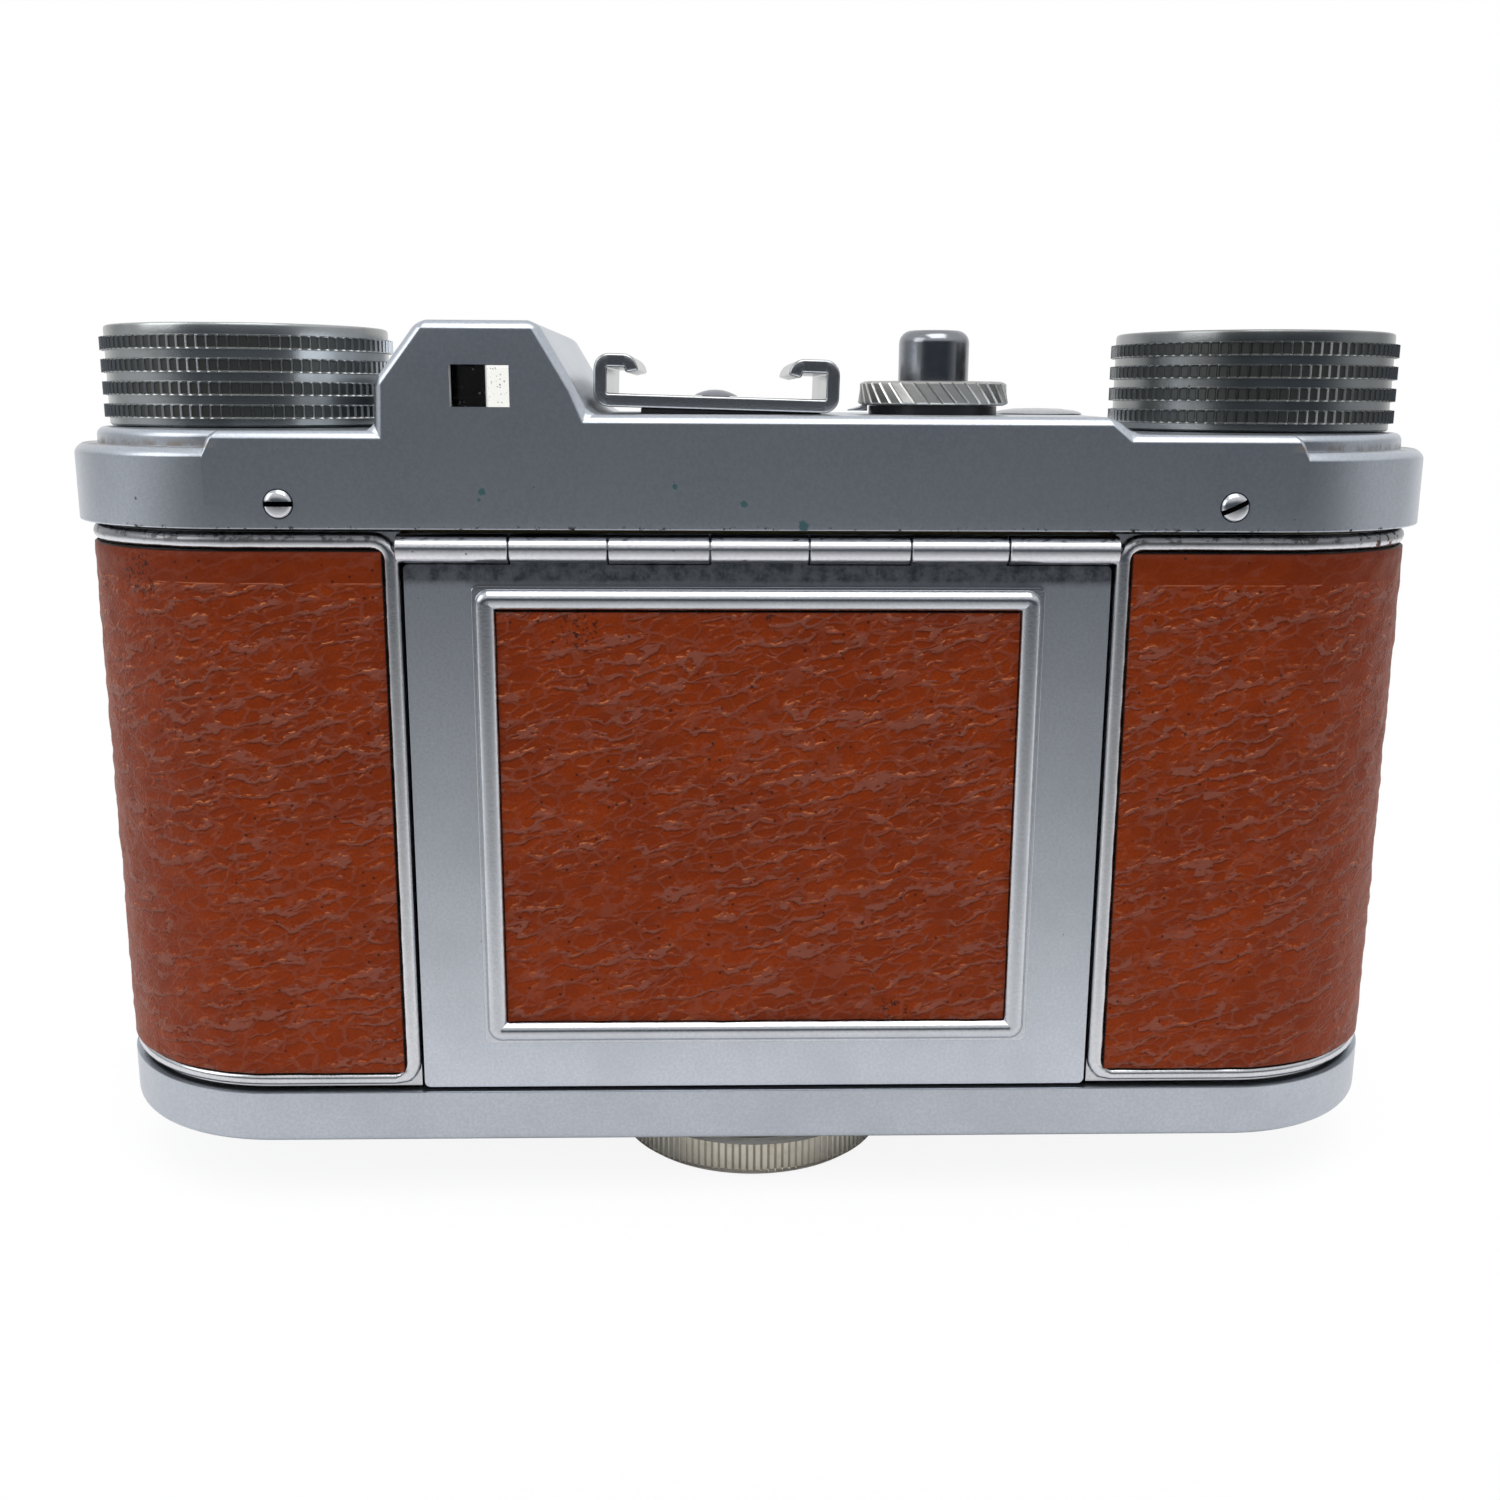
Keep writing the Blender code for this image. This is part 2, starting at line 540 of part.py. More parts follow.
def build_spools():
    """Rewind and wind knobs with their shafts, bushes, gears, sprocket and take-up spool."""
    screw = [(0, 70.7), (1.6, 70.7), (1.6, 71.0), (1.2, 71.3), (0, 71.4)]
    for word, side in (("rewind", -1), ("wind", 1)):
        at = (side * SPOOL_X, 0, 0)
        make(f"{word}_knob", turned(knob_profile(), 24), NICKEL, at=at)
        make(f"{word}_knob_screw", turned(screw, 12), BRIGHT, at=at)
        bush = [(2.5, 52.2), (3.7, 52.2), (3.7, 54.8), (5.0, 54.8), (5.0, 55.6), (2.5, 55.6)]
        make(f"{word}_bush", turned(bush, 14), BRASS, at=at)

    fork_top = 51.9
    fork = [(0, 44.0), (3.4, 44.0), (3.4, fork_top), (SHAFT_R, fork_top), (SHAFT_R, 69.3), (0, 69.3)]
    rewind = make("rewind_shaft", turned(fork, 14), STEEL, at=(-SPOOL_X, 0, 0))
    cut(rewind, prism(rectangle(-5, 5, -1.1, 1.1), 40, 49.5), at=(-SPOOL_X, 0, 0))

    at = (SPOOL_X, 0, 0)
    make("wind_shaft", turned([(0, 44.0), (SHAFT_R, 44.0), (SHAFT_R, 69.3), (0, 69.3)], 14), STEEL, at=at)
    reel = [(2.5, 6.2), (12.2, 6.2), (12.2, 7.2), (5.6, 7.6), (5.6, 50.0), (12.2, 50.4), (12.2, 51.4),
            (2.5, 51.4)]
    spool = make("takeup_spool", turned(reel, 20), BLACK, at=at)
    cut(spool, prism(rectangle(0.5, 9, -0.6, 0.6), 12, 47), at=at)

    reach = sqrt((SPOOL_X - SPROCKET_X) ** 2 + SPROCKET_Y ** 2)
    pitch = reach / (WIND_TEETH + SPROCKET_TEETH)
    towards = atan2(-SPROCKET_Y, SPOOL_X - SPROCKET_X)
    for name, teeth, x, y, bore, phase in (
            ("wind_gear", WIND_TEETH, SPOOL_X, 0, SHAFT_R + FIT, towards + pi + pi / WIND_TEETH),
            ("sprocket_gear", SPROCKET_TEETH, SPROCKET_X, SPROCKET_Y, 1.9, towards)):
        outline = toothed(teeth, pitch * (teeth + 1.2), pitch * (teeth - 2.0), 0.66)
        gear = make(name, prism(outline, *GEAR_Z), BRASS, at=(x, y, 0), turn=(0, 0, phase))
        cut(gear, prism(circle(bore, 16), 55, 60), at=(x, y, 0))

    at = (SPROCKET_X, SPROCKET_Y, 0)
    rims = [AXIS_Z - 16.0, AXIS_Z - 12.2, AXIS_Z + 12.2, AXIS_Z + 16.0]
    drum = [(0, 5.8), (1.6, 5.8), (1.6, 10.2), (3.6, 10.2), (3.6, rims[0]), (SPROCKET_R, rims[0]),
            (SPROCKET_R, rims[1]), (4.4, rims[1] + 1), (4.4, rims[2] - 1), (SPROCKET_R, rims[2]),
            (SPROCKET_R, rims[3]), (3.6, rims[3]), (3.6, 51.9), (1.6, 51.9), (1.6, 59.0), (0, 59.0)]
    sprocket = make("film_sprocket", turned(drum, 12), STEEL, at=at)
    for z in (AXIS_Z - 14.1, AXIS_Z + 14.1):
        join(sprocket, prism(toothed(8, SPROCKET_R + 1.2, SPROCKET_R - 0.3, 0.3), z - 0.7, z + 0.7), at=at)


def build_release():
    """Release button in its counter ring, its return spring and the rewind release."""
    at = (RELEASE_X, 0, 0)
    head_z = 64.8
    button = [(0, 55.6), (1.5, 55.6), (1.5, head_z), (BUTTON_R, head_z), (BUTTON_R, BUTTON_TOP_Z - 1.3),
              (BUTTON_R - 0.4, BUTTON_TOP_Z - 0.45), (BUTTON_R - 1.3, BUTTON_TOP_Z - 0.05),
              (0, BUTTON_TOP_Z)]
    make("release_button", turned(button, 20), BRIGHT, at=at)
    make("counter_base", turned(washer(BUTTON_R + 0.4, 5.65, DECK_Z + 0.3, COUNTER_Z[0] - 0.3), 24),
         BLACK, at=at)
    lean = 2 * pi / COUNTER_TEETH * 1.6
    loops = []
    inner = circle(BUTTON_R + 0.4, 2 * COUNTER_TEETH)
    for z, radius, turn in ((COUNTER_Z[0], COUNTER_R[0], 0), (COUNTER_Z[1], COUNTER_R[1], lean)):
        rim = []
        for i in range(2 * COUNTER_TEETH):
            a = pi * i / COUNTER_TEETH + turn
            r = radius - 0.22 * (i % 2)
            rim.append((r * cos(a), r * sin(a)))
        loops.append(level(rim, z))
    loops += [level(inner, COUNTER_Z[1]), level(inner, COUNTER_Z[0])]
    make("counter_ring", loft(loops, ring=True), NICKEL, at=at)
    make("counter_pointer", extrude_y([(8.6, DECK_Z + 0.3), (10.3, DECK_Z + 0.3), (10.3, 65.1)], -0.9, 0.9),
         BRIGHT)

    turns, wire, coil_r = 4, 0.24, 2.3
    low, high = 54.9 + wire, head_z - FIT - wire
    spring_curve = bpy.data.curves.new("release_spring", "CURVE")
    spring_curve.dimensions = "3D"
    spring_curve.bevel_depth = wire * MM
    spring_curve.bevel_resolution = 1
    spring_curve.use_fill_caps = True
    spline = spring_curve.splines.new("POLY")
    count = turns * 8 + 1
    spline.points.add(count - 1)
    for i, point in enumerate(spline.points):
        a = 2 * pi * turns * i / (count - 1)
        z = low + (high - low) * i / (count - 1)
        point.co = (coil_r * cos(a) * MM, coil_r * sin(a) * MM, z * MM, 1)
    spring_curve.materials.append(STEEL)
    spring = bpy.data.objects.new("release_spring", spring_curve)
    spring.parent = body_frame
    spring.location = (RELEASE_X * MM, 0, 0)
    bpy.context.collection.objects.link(spring)
    print("release spring: gap between turns", round((high - low) / turns - 2 * wire, 2), "mm")

    dome = [(0, 56.0), (1.2, 56.0), (1.2, 60.4), (UNLOCK_R, 60.4), (UNLOCK_R, DECK_Z + 0.4),
            (UNLOCK_R - 0.9, DECK_Z + 0.9), (0, DECK_Z + 1.1)]
    make("rewind_release", turned(dome, 20), BRIGHT, at=(*UNLOCK_XY, 0))


def build_shoe():
    """Accessory shoe bent from sheet, slightly lifted on its left, and its screw."""
    t, half = SHOE_SHEET, SHOE_HALF
    high, lip, hook = 3.7, 4.1, 1.2
    right = [(half, 0), (half, high), (half - lip, high), (half - lip - 0.5, high - hook),
             (half - lip + t - 0.5, high - hook), (half - lip + t, high - t), (half - t, high - t),
             (half - t, t)]
    left = [(-x, z) for x, z in reversed(right)]
    tilt = radians(SHOE_TILT)
    lift = DECK_Z + FIT + half * sin(tilt)
    at = (SHOE_X, 0, lift)
    shoe = make("accessory_shoe", extrude_y(right + left, *SHOE_Y), SATIN, at=at, turn=(0, tilt, 0))
    cut(shoe, prism(circle(1.6, 16), -2, 2), at=at, turn=(0, tilt, 0))
    screw = [(0, -0.3), (1.3, -0.3), (1.3, t + 0.25), (2.3, t + 0.25), (1.7, t + 0.85), (0, t + 1.1)]
    make("shoe_screw", turned(screw, 12), BRIGHT, at=at, turn=(0, tilt, 0))


def arc_profile(radius, bulge, y, steps=3):
    """Points of a shallow lens surface from its rim to its centre."""
    spots = [radius * (1 - i / steps) for i in range(steps + 1)]
    return [(r, y + bulge * (1 - (r / radius) ** 2)) for r in spots]


def build_lens():
    """Lens panel, leaf shutter with its rings and lever, and the focusing lens."""
    y0, y1 = PANEL_Y
    flat = 22.6
    outline = []
    for side in (1, -1):
        edge = asin(flat / PANEL_R)
        for i in range(17):
            a = edge * (2 * i / 16 - 1)
            outline.append((side * PANEL_R * cos(a), side * PANEL_R * sin(a)))
    panel = lens_axis("lens_panel", extrude_y(outline, y0, y1), SATIN)
    cut(panel, turned([(0, 10), (14.6, 10), (14.6, 20), (0, 20)], 28, "Y"), at=(0, 0, AXIS_Z))

    back, groove, nose = CASE_Y
    case = [(LENS_BORE, back), (CASE_R - 0.8, back), (CASE_R, back + 0.8), (CASE_R, groove),
            (NOSE_R, groove), (NOSE_R, nose), (14.2, nose), (14.2, nose - 4), (LENS_BORE, nose - 4)]
    lens_axis("shutter_case", turned(case, 24, "Y"), BLACK)

    lever_y = (groove + FIT, groove + 1.9)
    ring = turned(washer(NOSE_R + FIT, CASE_R, *lever_y), 28, "Y")
    lever = lens_axis("cocking_lever", ring, BRIGHT)
    arm = [(CASE_R - 1.0, -1.6), (27.6, -1.2), (28.6, 0), (27.6, 1.2), (CASE_R - 1.0, 1.6)]
    join(lever, extrude_y(arm, lever_y[0] + 0.2, lever_y[1] - 0.2), at=(0, 0, AXIS_Z),
         turn=(0, radians(-125), 0))

    def grip(name, outside, bore, y_low, y_high, material):
        """A scalloped ring that turns on the lens axis."""
        thing = lens_axis(name, extrude_y(outside, y_low, y_high), material)
        cut(thing, turned([(0, 10), (bore, 10), (bore, 60), (0, 60)], 28, "Y"), at=(0, 0, AXIS_Z))

    speed_y = lever_y[1] + FIT
    grip("speed_ring", fluted(CASE_R + 0.5, 0.5, 30), NOSE_R + FIT, speed_y, nose + 0.3, NICKEL)
    grip("aperture_ring", fluted(NOSE_R - 0.3, 0.4, 24), 17.8, nose + 0.6, nose + 2.4, SATIN)
    grip("focus_ring", fluted(17.4, 0.6, 24), 14.0, nose + 0.6, 39.0, NICKEL)

    barrel_r = 13.6
    lens_front = FRONT_Y - 0.2
    barrel_profile = [(9.2, 27.5), (12.2, 27.5), (12.2, 31.0), (barrel_r, 31.0), (barrel_r, 39.6),
                      (16.0, 40.2), (16.0, FRONT_Y - 0.4), (15.6, FRONT_Y), (14.6, FRONT_Y),
                      (14.0, lens_front - 1.4), (11.2, lens_front - 2.6), (11.2, 36.4), (9.2, 36.4)]
    lens_axis("lens_barrel", turned(barrel_profile, 20, "Y"), SATIN)
    front = arc_profile(10.2, 0.5, 37.4)[::-1] + arc_profile(10.2, 1.6, 40.4)
    lens_axis("front_lens", turned(front, 20, "Y"), GLASS)
    retainer = [(9.9, 41.0), (10.9, 41.0), (10.9, 42.6), (10.3, 42.6)]
    lens_axis("lens_retainer", turned(retainer, 20, "Y"), BLACK)
    rear_profile = [(8.3, 6.0), (9.4, 6.0), (10.2, 12.0), (12.2, 15.0), (12.2, 21.2), (8.3, 21.2)]
    lens_axis("rear_cell", turned(rear_profile, 20, "Y"), BLACK)
    rear = arc_profile(8.0, -0.8, 6.6)[::-1] + arc_profile(8.0, 0.5, 9.6)
    lens_axis("rear_lens", turned(rear, 16, "Y"), GLASS)
    lens_axis("shutter_blades", turned([(0, 22.0), (12.2, 22.0), (12.2, 22.5), (0, 22.5)], 20, "Y"), STEEL)
    iris = lens_axis("iris_blades", turned([(0, 23.4), (12.2, 23.4), (12.2, 23.9), (0, 23.9)], 20, "Y"), STEEL)
    cut(iris, turned([(0, 20), (7.0, 20), (7.0, 26), (0, 26)], 10, "Y"), at=(0, 0, AXIS_Z))


build_body()
build_cover()
build_finder()
build_flap()
build_base()
build_spools()
build_release()
build_shoe()
build_lens()
print("pieces:", sum(1 for thing in bpy.data.objects if thing.type != "EMPTY" and not thing.hide_render))
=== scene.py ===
from math import cos, pi, radians, sin, sqrt

import bmesh
import bpy
from mathutils import Matrix, Vector, noise


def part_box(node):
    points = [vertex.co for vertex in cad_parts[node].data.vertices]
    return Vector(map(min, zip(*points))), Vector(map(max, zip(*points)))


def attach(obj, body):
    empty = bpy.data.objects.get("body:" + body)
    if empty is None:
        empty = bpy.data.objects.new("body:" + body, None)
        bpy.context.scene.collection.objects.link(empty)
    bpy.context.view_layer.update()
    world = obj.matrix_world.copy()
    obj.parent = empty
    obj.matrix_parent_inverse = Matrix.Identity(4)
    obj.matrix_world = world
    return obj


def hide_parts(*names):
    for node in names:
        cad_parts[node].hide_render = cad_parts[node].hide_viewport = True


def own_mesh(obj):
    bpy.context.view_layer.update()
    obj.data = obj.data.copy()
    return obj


# %% [markdown]
# # A pocket 35 mm camera, seen from behind
#
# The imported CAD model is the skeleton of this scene. It holds the true sizes and the joints.
# Each piece below is modelled round that skeleton the way it would be by hand: a primitive, a few
# edit-mode operators and a modifier or two. The CAD node that it stands for is then hidden.

# %% Load the frame
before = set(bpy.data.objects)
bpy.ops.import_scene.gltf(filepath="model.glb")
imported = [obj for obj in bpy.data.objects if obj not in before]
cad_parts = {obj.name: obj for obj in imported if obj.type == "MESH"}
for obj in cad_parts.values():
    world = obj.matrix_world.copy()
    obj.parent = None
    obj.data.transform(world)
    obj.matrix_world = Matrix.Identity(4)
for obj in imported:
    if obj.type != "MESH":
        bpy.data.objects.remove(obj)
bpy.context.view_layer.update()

# %% [markdown]
# The frame is in metres, and a camera's details are fractions of a millimetre. Operators such as
# bevel and merge are happier with larger numbers, so every piece is modelled in millimetres in the
# camera's own frame: x to the right seen from behind, y towards the lens and z up from the base
# plate's lower edge. `settle` brings a finished piece to its place in metres at the end. FIT is the
# play between pieces that turn on each other, and HAIR is how near two places count as equal.

# %% The camera's own frame
MM = 0.001
cover_y = sum(corner.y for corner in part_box("top_cover")) / 2
BODY_ORIGIN = Vector((0, cover_y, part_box("base_plate")[0].z))
BODY_FRAME = Matrix.Translation(BODY_ORIGIN) @ Matrix.Scale(MM, 4)
FIT = 0.3
HAIR = 0.001


def in_mm(node):
    """Lowest and highest corner of a CAD node, in millimetres of the camera's frame."""
    return [(corner - BODY_ORIGIN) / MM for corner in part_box(node)]


print("camera's frame starts at", [round(value / MM, 2) for value in BODY_ORIGIN], "mm")

# %% [markdown]
# An operator acts on whatever is selected, so a small set of helpers keeps the selection clean:
# `fresh` drops it, `take` names a new primitive and puts its size into its mesh, and `select` picks
# corners, edges or faces by a test of their place. `push`, `bevel`, `weld` and `combine` are the steps
# that come back most often.

# %% Helpers for primitives and selections


def fresh(*chosen):
    """Leave edit mode, drop the selection and select only what is named."""
    if bpy.context.mode != "OBJECT":
        bpy.ops.object.mode_set(mode="OBJECT")
    bpy.ops.object.select_all(action="DESELECT")
    for thing in chosen:
        thing.select_set(True)
        bpy.context.view_layer.objects.active = thing


def take(name):
    """Name the primitive that was just added, with its place and size in its mesh."""
    bpy.ops.object.transform_apply(location=True, rotation=True, scale=True)
    thing = bpy.context.object
    thing.name = name
    thing.data.name = name
    return thing


def block(name, low, high):
    """A box between two corners."""
    fresh()
    low, high = Vector(low), Vector(high)
    bpy.ops.mesh.primitive_cube_add(size=1, location=(low + high) / 2, scale=high - low)
    return take(name)


def corners(part):
    return [part] if isinstance(part, bmesh.types.BMVert) else part.verts


def at(axis, *values):
    """A test: all corners of a part lie at one of these places along an axis."""
    index = "xyz".index(axis)

    def test(part):
        spots = [corner.co[index] for corner in corners(part)]
        return any(all(abs(spot - value) < HAIR for spot in spots) for value in values)
    return test


def along(axis):
    """A test: an edge runs parallel to an axis."""
    index = "xyz".index(axis)

    def test(edge):
        a, b = (corner.co for corner in edge.verts)
        return abs(abs((b - a).normalized()[index]) - 1) < HAIR
    return test


def select(thing, kind, test):
    """Go into edit mode and select the VERT, EDGE or FACE parts that pass a test."""
    fresh(thing)
    bpy.ops.object.mode_set(mode="EDIT")
    bpy.ops.mesh.select_mode(type=kind)
    bpy.ops.mesh.select_all(action="DESELECT")
    mesh = bmesh.from_edit_mesh(thing.data)
    parts = {"VERT": mesh.verts, "EDGE": mesh.edges, "FACE": mesh.faces}[kind]
    for part in [part for part in parts if test(part)]:
        part.select_set(True)
    mesh.select_flush_mode()
    bmesh.update_edit_mesh(thing.data)


def push(x, y, z):
    """Extrude what is selected straight on."""
    bpy.ops.mesh.extrude_region_move(TRANSFORM_OT_translate={"value": (x, y, z)})


def bevel(thing, test, width, steps=4, profile=0.5):
    """Round over the edges that pass a test."""
    select(thing, "EDGE", test)
    bpy.ops.mesh.bevel(offset=width, segments=steps, profile=profile, affect="EDGES",
                       clamp_overlap=True)
    fresh(thing)


def weld(thing):
    """Merge doubles and turn every face outwards."""
    select(thing, "VERT", lambda corner: True)
    bpy.ops.mesh.remove_doubles(threshold=HAIR)
    bpy.ops.mesh.normals_make_consistent(inside=False)
    fresh(thing)


def modify(thing, kind, **settings):
    """Add a modifier, set it up and apply it."""
    fresh(thing)
    step = thing.modifiers.new(kind, kind)
    for key, value in settings.items():
        setattr(step, key, value)
    bpy.ops.object.modifier_apply(modifier=step.name)


def sharp_bevel(thing, width, steps=2):
    """Break all edges sharper than thirty degrees."""
    modify(thing, "BEVEL", width=width, segments=steps, angle_limit=radians(30))


def combine(thing, tool, operation="DIFFERENCE"):
    """Cut a tool out of a piece, or join it on with UNION, and throw the tool away."""
    modify(thing, "BOOLEAN", operation=operation, object=tool)
    bpy.data.objects.remove(tool)


def stand(thing, place, turn=(0, 0, 0)):
    """Turn and move a piece that was made about the origin."""
    thing.rotation_euler = turn
    thing.location = place
    fresh(thing)
    bpy.ops.object.transform_apply(location=True, rotation=True, scale=True)
    return thing


def joined(first, *others):
    """Make one mesh of several."""
    fresh(*others, first)
    bpy.ops.object.join()
    return first


print("helpers for boxes, bevels and Booleans are ready")

# %% [markdown]
# Half of a camera comes from a lathe. A lathe piece starts as a circle, and the circle is extruded
# and scaled from one step of the profile to the next, as one would do with E and S by hand. Knurling
# starts from the same mesh: each side face of a band is inset by itself, upwards for a tooth and
# downwards for a flute, so the number of sides is the number of teeth.

# %% Helpers for turned pieces
ALONG_LENS = (-pi / 2, 0, 0)
ALONG_BODY = (0, pi / 2, 0)


def turned(name, profile, sides=96, hollow=False):
    """Extrude and scale a circle along a (radius, height) profile; hollow makes a ring of it."""
    fresh()
    (radius, height), *rest = profile
    fill = "NOTHING" if hollow else "NGON"
    bpy.ops.mesh.primitive_circle_add(vertices=sides, radius=radius, fill_type=fill,
                                      location=(0, 0, height))
    thing = take(name)
    bpy.ops.object.mode_set(mode="EDIT")
    bpy.ops.mesh.select_mode(type="VERT")
    bpy.ops.mesh.select_all(action="SELECT")
    for next_radius, next_height in rest:
        push(0, 0, next_height - height)
        grow = next_radius / radius
        bpy.ops.transform.resize(value=(grow, grow, 1), center_override=(0, 0, next_height))
        radius, height = next_radius, next_height
    if hollow:
        bpy.ops.mesh.select_mode(type="EDGE")
        bpy.ops.mesh.select_all(action="DESELECT")
        bpy.ops.mesh.select_non_manifold()
        bpy.ops.mesh.bridge_edge_loops()
    bpy.ops.mesh.select_all(action="SELECT")
    bpy.ops.mesh.normals_make_consistent(inside=False)
    fresh(thing)
    return thing


def band(low, high, radius):
    """A test: a side face of a turned piece between two heights and beyond a radius."""
    def test(face):
        middle = face.calc_center_median()
        return low < middle.z < high and middle.xy.length > radius and abs(face.normal.z) < 0.5
    return test


def knurl(thing, test, gap, depth):
    """Raise or sink every face of a band by itself."""
    select(thing, "FACE", test)
    bpy.ops.mesh.inset(thickness=gap, depth=depth, use_individual=True)
    fresh(thing)


def drill(thing, radius, place, depth, turn=(0, 0, 0), sides=32):
    """Cut a round hole that starts at a place and runs along the turned z axis."""
    tool = turned("drill", [(radius, 0), (radius, depth)], sides)
    combine(thing, stand(tool, place, turn))


print("helpers for turned pieces are ready")

# %% [markdown]
# A finished piece leaves the millimetre frame through `settle`. It gets smooth shading with sharp
# creases, weighted normals that keep the flat faces flat beside their rounded edges, its finish,
# and a parent named after its body, and the CAD nodes that it stands for are hidden.

# %% Settle a finished piece
settled = []


def settle(thing, body, slot, finish, *nodes, angle=40):
    """Bring a piece from millimetres to its place in the frame and let it ride on its body."""
    thing.matrix_world = BODY_FRAME
    fresh(thing)
    bpy.ops.object.transform_apply(location=True, rotation=True, scale=True)
    bpy.ops.object.shade_smooth_by_angle(angle=radians(angle))
    modify(thing, "WEIGHTED_NORMAL", keep_sharp=True)
    thing.data.materials.clear()
    thing.data.materials.append(finish)
    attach(thing, body)
    if nodes:
        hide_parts(*nodes)
    settled.append(thing)
    print(f"{thing.name}: {len(thing.data.polygons)} faces on {body}")
    return thing


print("finished pieces leave the bench at a scale of", MM)

# %% [markdown]
# Finishes are node trees. A few helpers keep them short: `node` adds a node and feeds its sockets,
# `times` and `scaled` do sums on masks, `ramp` turns a range of values into a soft mask, and `layered`
# lays colours over each other, each through its own mask.

# %% Helpers for node trees


def feed(tree, socket, value):
    """Link a socket to another one, or give it a fixed value."""
    if isinstance(value, bpy.types.NodeSocket):
        tree.links.new(value, socket)
    elif isinstance(value, (tuple, list)) and len(socket.default_value) == 4 and len(value) == 3:
        socket.default_value = (*value, 1)
    else:
        socket.default_value = value


def plug(tree, made, sockets):
    """Feed several sockets of a node, by name or by number."""
    for key, value in sockets.items():
        feed(tree, made.inputs[key], value)


def node(tree, kind, sockets, **settings):
    """Add a shader node and feed its sockets."""
    made = tree.nodes.new("ShaderNode" + kind)
    for key, value in settings.items():
        setattr(made, key, value)
    plug(tree, made, sockets)
    return made


def calc(tree, operation, a, b=0.0, c=0.0):
    """One step of arithmetic on values."""
    return node(tree, "Math", {0: a, 1: b, 2: c}, operation=operation).outputs[0]


def times(tree, a, b):
    """One value or mask times another."""
    return calc(tree, "MULTIPLY", a, b)


def scaled(tree, value, share, start):
    """A share of a value, counted from a start."""
    return calc(tree, "MULTIPLY_ADD", value, share, start)


def vector(tree, operation, *values):
    """One step of arithmetic on vectors."""
    return node(tree, "VectorMath", dict(enumerate(values)), operation=operation).outputs[0]


def axes(tree, place):
    """The three parts of a place, under X, Y and Z."""
    return node(tree, "SeparateXYZ", {0: place}).outputs


def mixed(tree, factor, a, b):
    """Blend from colour a to colour b."""
    return node(tree, "Mix", {0: factor, 6: a, 7: b}, data_type="RGBA").outputs[2]


def layered(tree, colour, layers):
    """Lay (mask, colour) pairs over a colour, one after another."""
    for mask, tone in layers:
        colour = mixed(tree, mask, colour, tone)
    return colour


def ramp(tree, value, start, end, low=0.0, high=1.0):
    """A soft step from low to high as a value goes from start to end."""
    sockets = {"Value": value, "From Min": start, "From Max": end, "To Min": low, "To Max": high}
    return node(tree, "MapRange", sockets, interpolation_type="SMOOTHSTEP").outputs[0]


def noise_of(tree, place, scale, detail=2.0, rough=0.5):
    """Soft cloudy noise with features of about 1 / scale millimetres."""
    sockets = {"Vector": place, "Scale": scale, "Detail": detail, "Roughness": rough}
    return node(tree, "TexNoise", sockets).outputs["Fac"]


def group(name, inputs, outputs):
    """An empty shader node group; returns its tree and its named input and output sockets."""
    tree = bpy.data.node_groups.new(name, "ShaderNodeTree")
    for direction, sockets in (("INPUT", inputs), ("OUTPUT", outputs)):
        for label, kind in sockets.items():
            tree.interface.new_socket(label, in_out=direction, socket_type="NodeSocket" + kind)
    return tree, tree.nodes.new("NodeGroupInput").outputs, tree.nodes.new("NodeGroupOutput").inputs


def use(tree, name, **sockets):
    """Place a node group in a tree and return its outputs."""
    made = tree.nodes.new("ShaderNodeGroup")
    made.node_tree = bpy.data.node_groups[name]
    plug(tree, made, sockets)
    return made.outputs


print("helpers for finishes are ready")

# %% [markdown]
# Every pattern on the camera has a real size, so the first group turns Object coordinates into
# millimetres of the camera's frame. The pieces sit at the origin, so the pattern stays put on them.

# %% Group: place in millimetres
tree, given, out = group("place_mm", {}, {"Place": "Vector"})
coords = node(tree, "TexCoord", {}).outputs["Object"]
shifted = vector(tree, "SUBTRACT", coords, tuple(BODY_ORIGIN))
grown = node(tree, "VectorMath", {0: shifted, "Scale": 1 / MM}, operation="SCALE").outputs[0]
feed(tree, out["Place"], grown)
print("group:", tree.name)

# %% [markdown]
# Old plated metal is never one even grey. This group gives three masks: soft clouds where hands have
# polished or dulled it, fine blasted grain, and small dark specks where the plating is nicked. The
# specks are the middles of cells of which only a share is kept, each with its own size.

# %% Group: handled metal


def scatter(tree, place, scale):
    """Scattered points: the distance to the nearest one, and its own chance numbers."""
    cells = node(tree, "TexVoronoi", {"Vector": place, "Scale": scale}).outputs
    return cells["Distance"], node(tree, "SeparateColor", {0: cells["Color"]}).outputs


tree, given, out = group("handled_metal", {"Place": "Vector", "Speck Share": "Float"},
                         {"Cloud": "Float", "Grain": "Float", "Speck": "Float"})
feed(tree, out["Cloud"], noise_of(tree, given["Place"], 0.12, 3, 0.6))
feed(tree, out["Grain"], noise_of(tree, given["Place"], 3.8, 3, 0.75))
away, chance = scatter(tree, given["Place"], 0.7)
dot_r = scaled(tree, calc(tree, "POWER", chance["Green"], 3.0), 0.10, 0.035)
dot = ramp(tree, away, dot_r, times(tree, dot_r, 0.5))
kept = calc(tree, "LESS_THAN", chance["Red"], given["Speck Share"])
feed(tree, out["Speck"], times(tree, dot, kept))
print("group:", tree.name)

# %% [markdown]
# Grime settles where fingers don't reach: in grooves. On a turned piece the groove is nearer the axis
# than the ridge, so the distance from the axis is a mask that needs no painting. The flanks between
# ridge and groove are a mask of their own, because they stay bright.

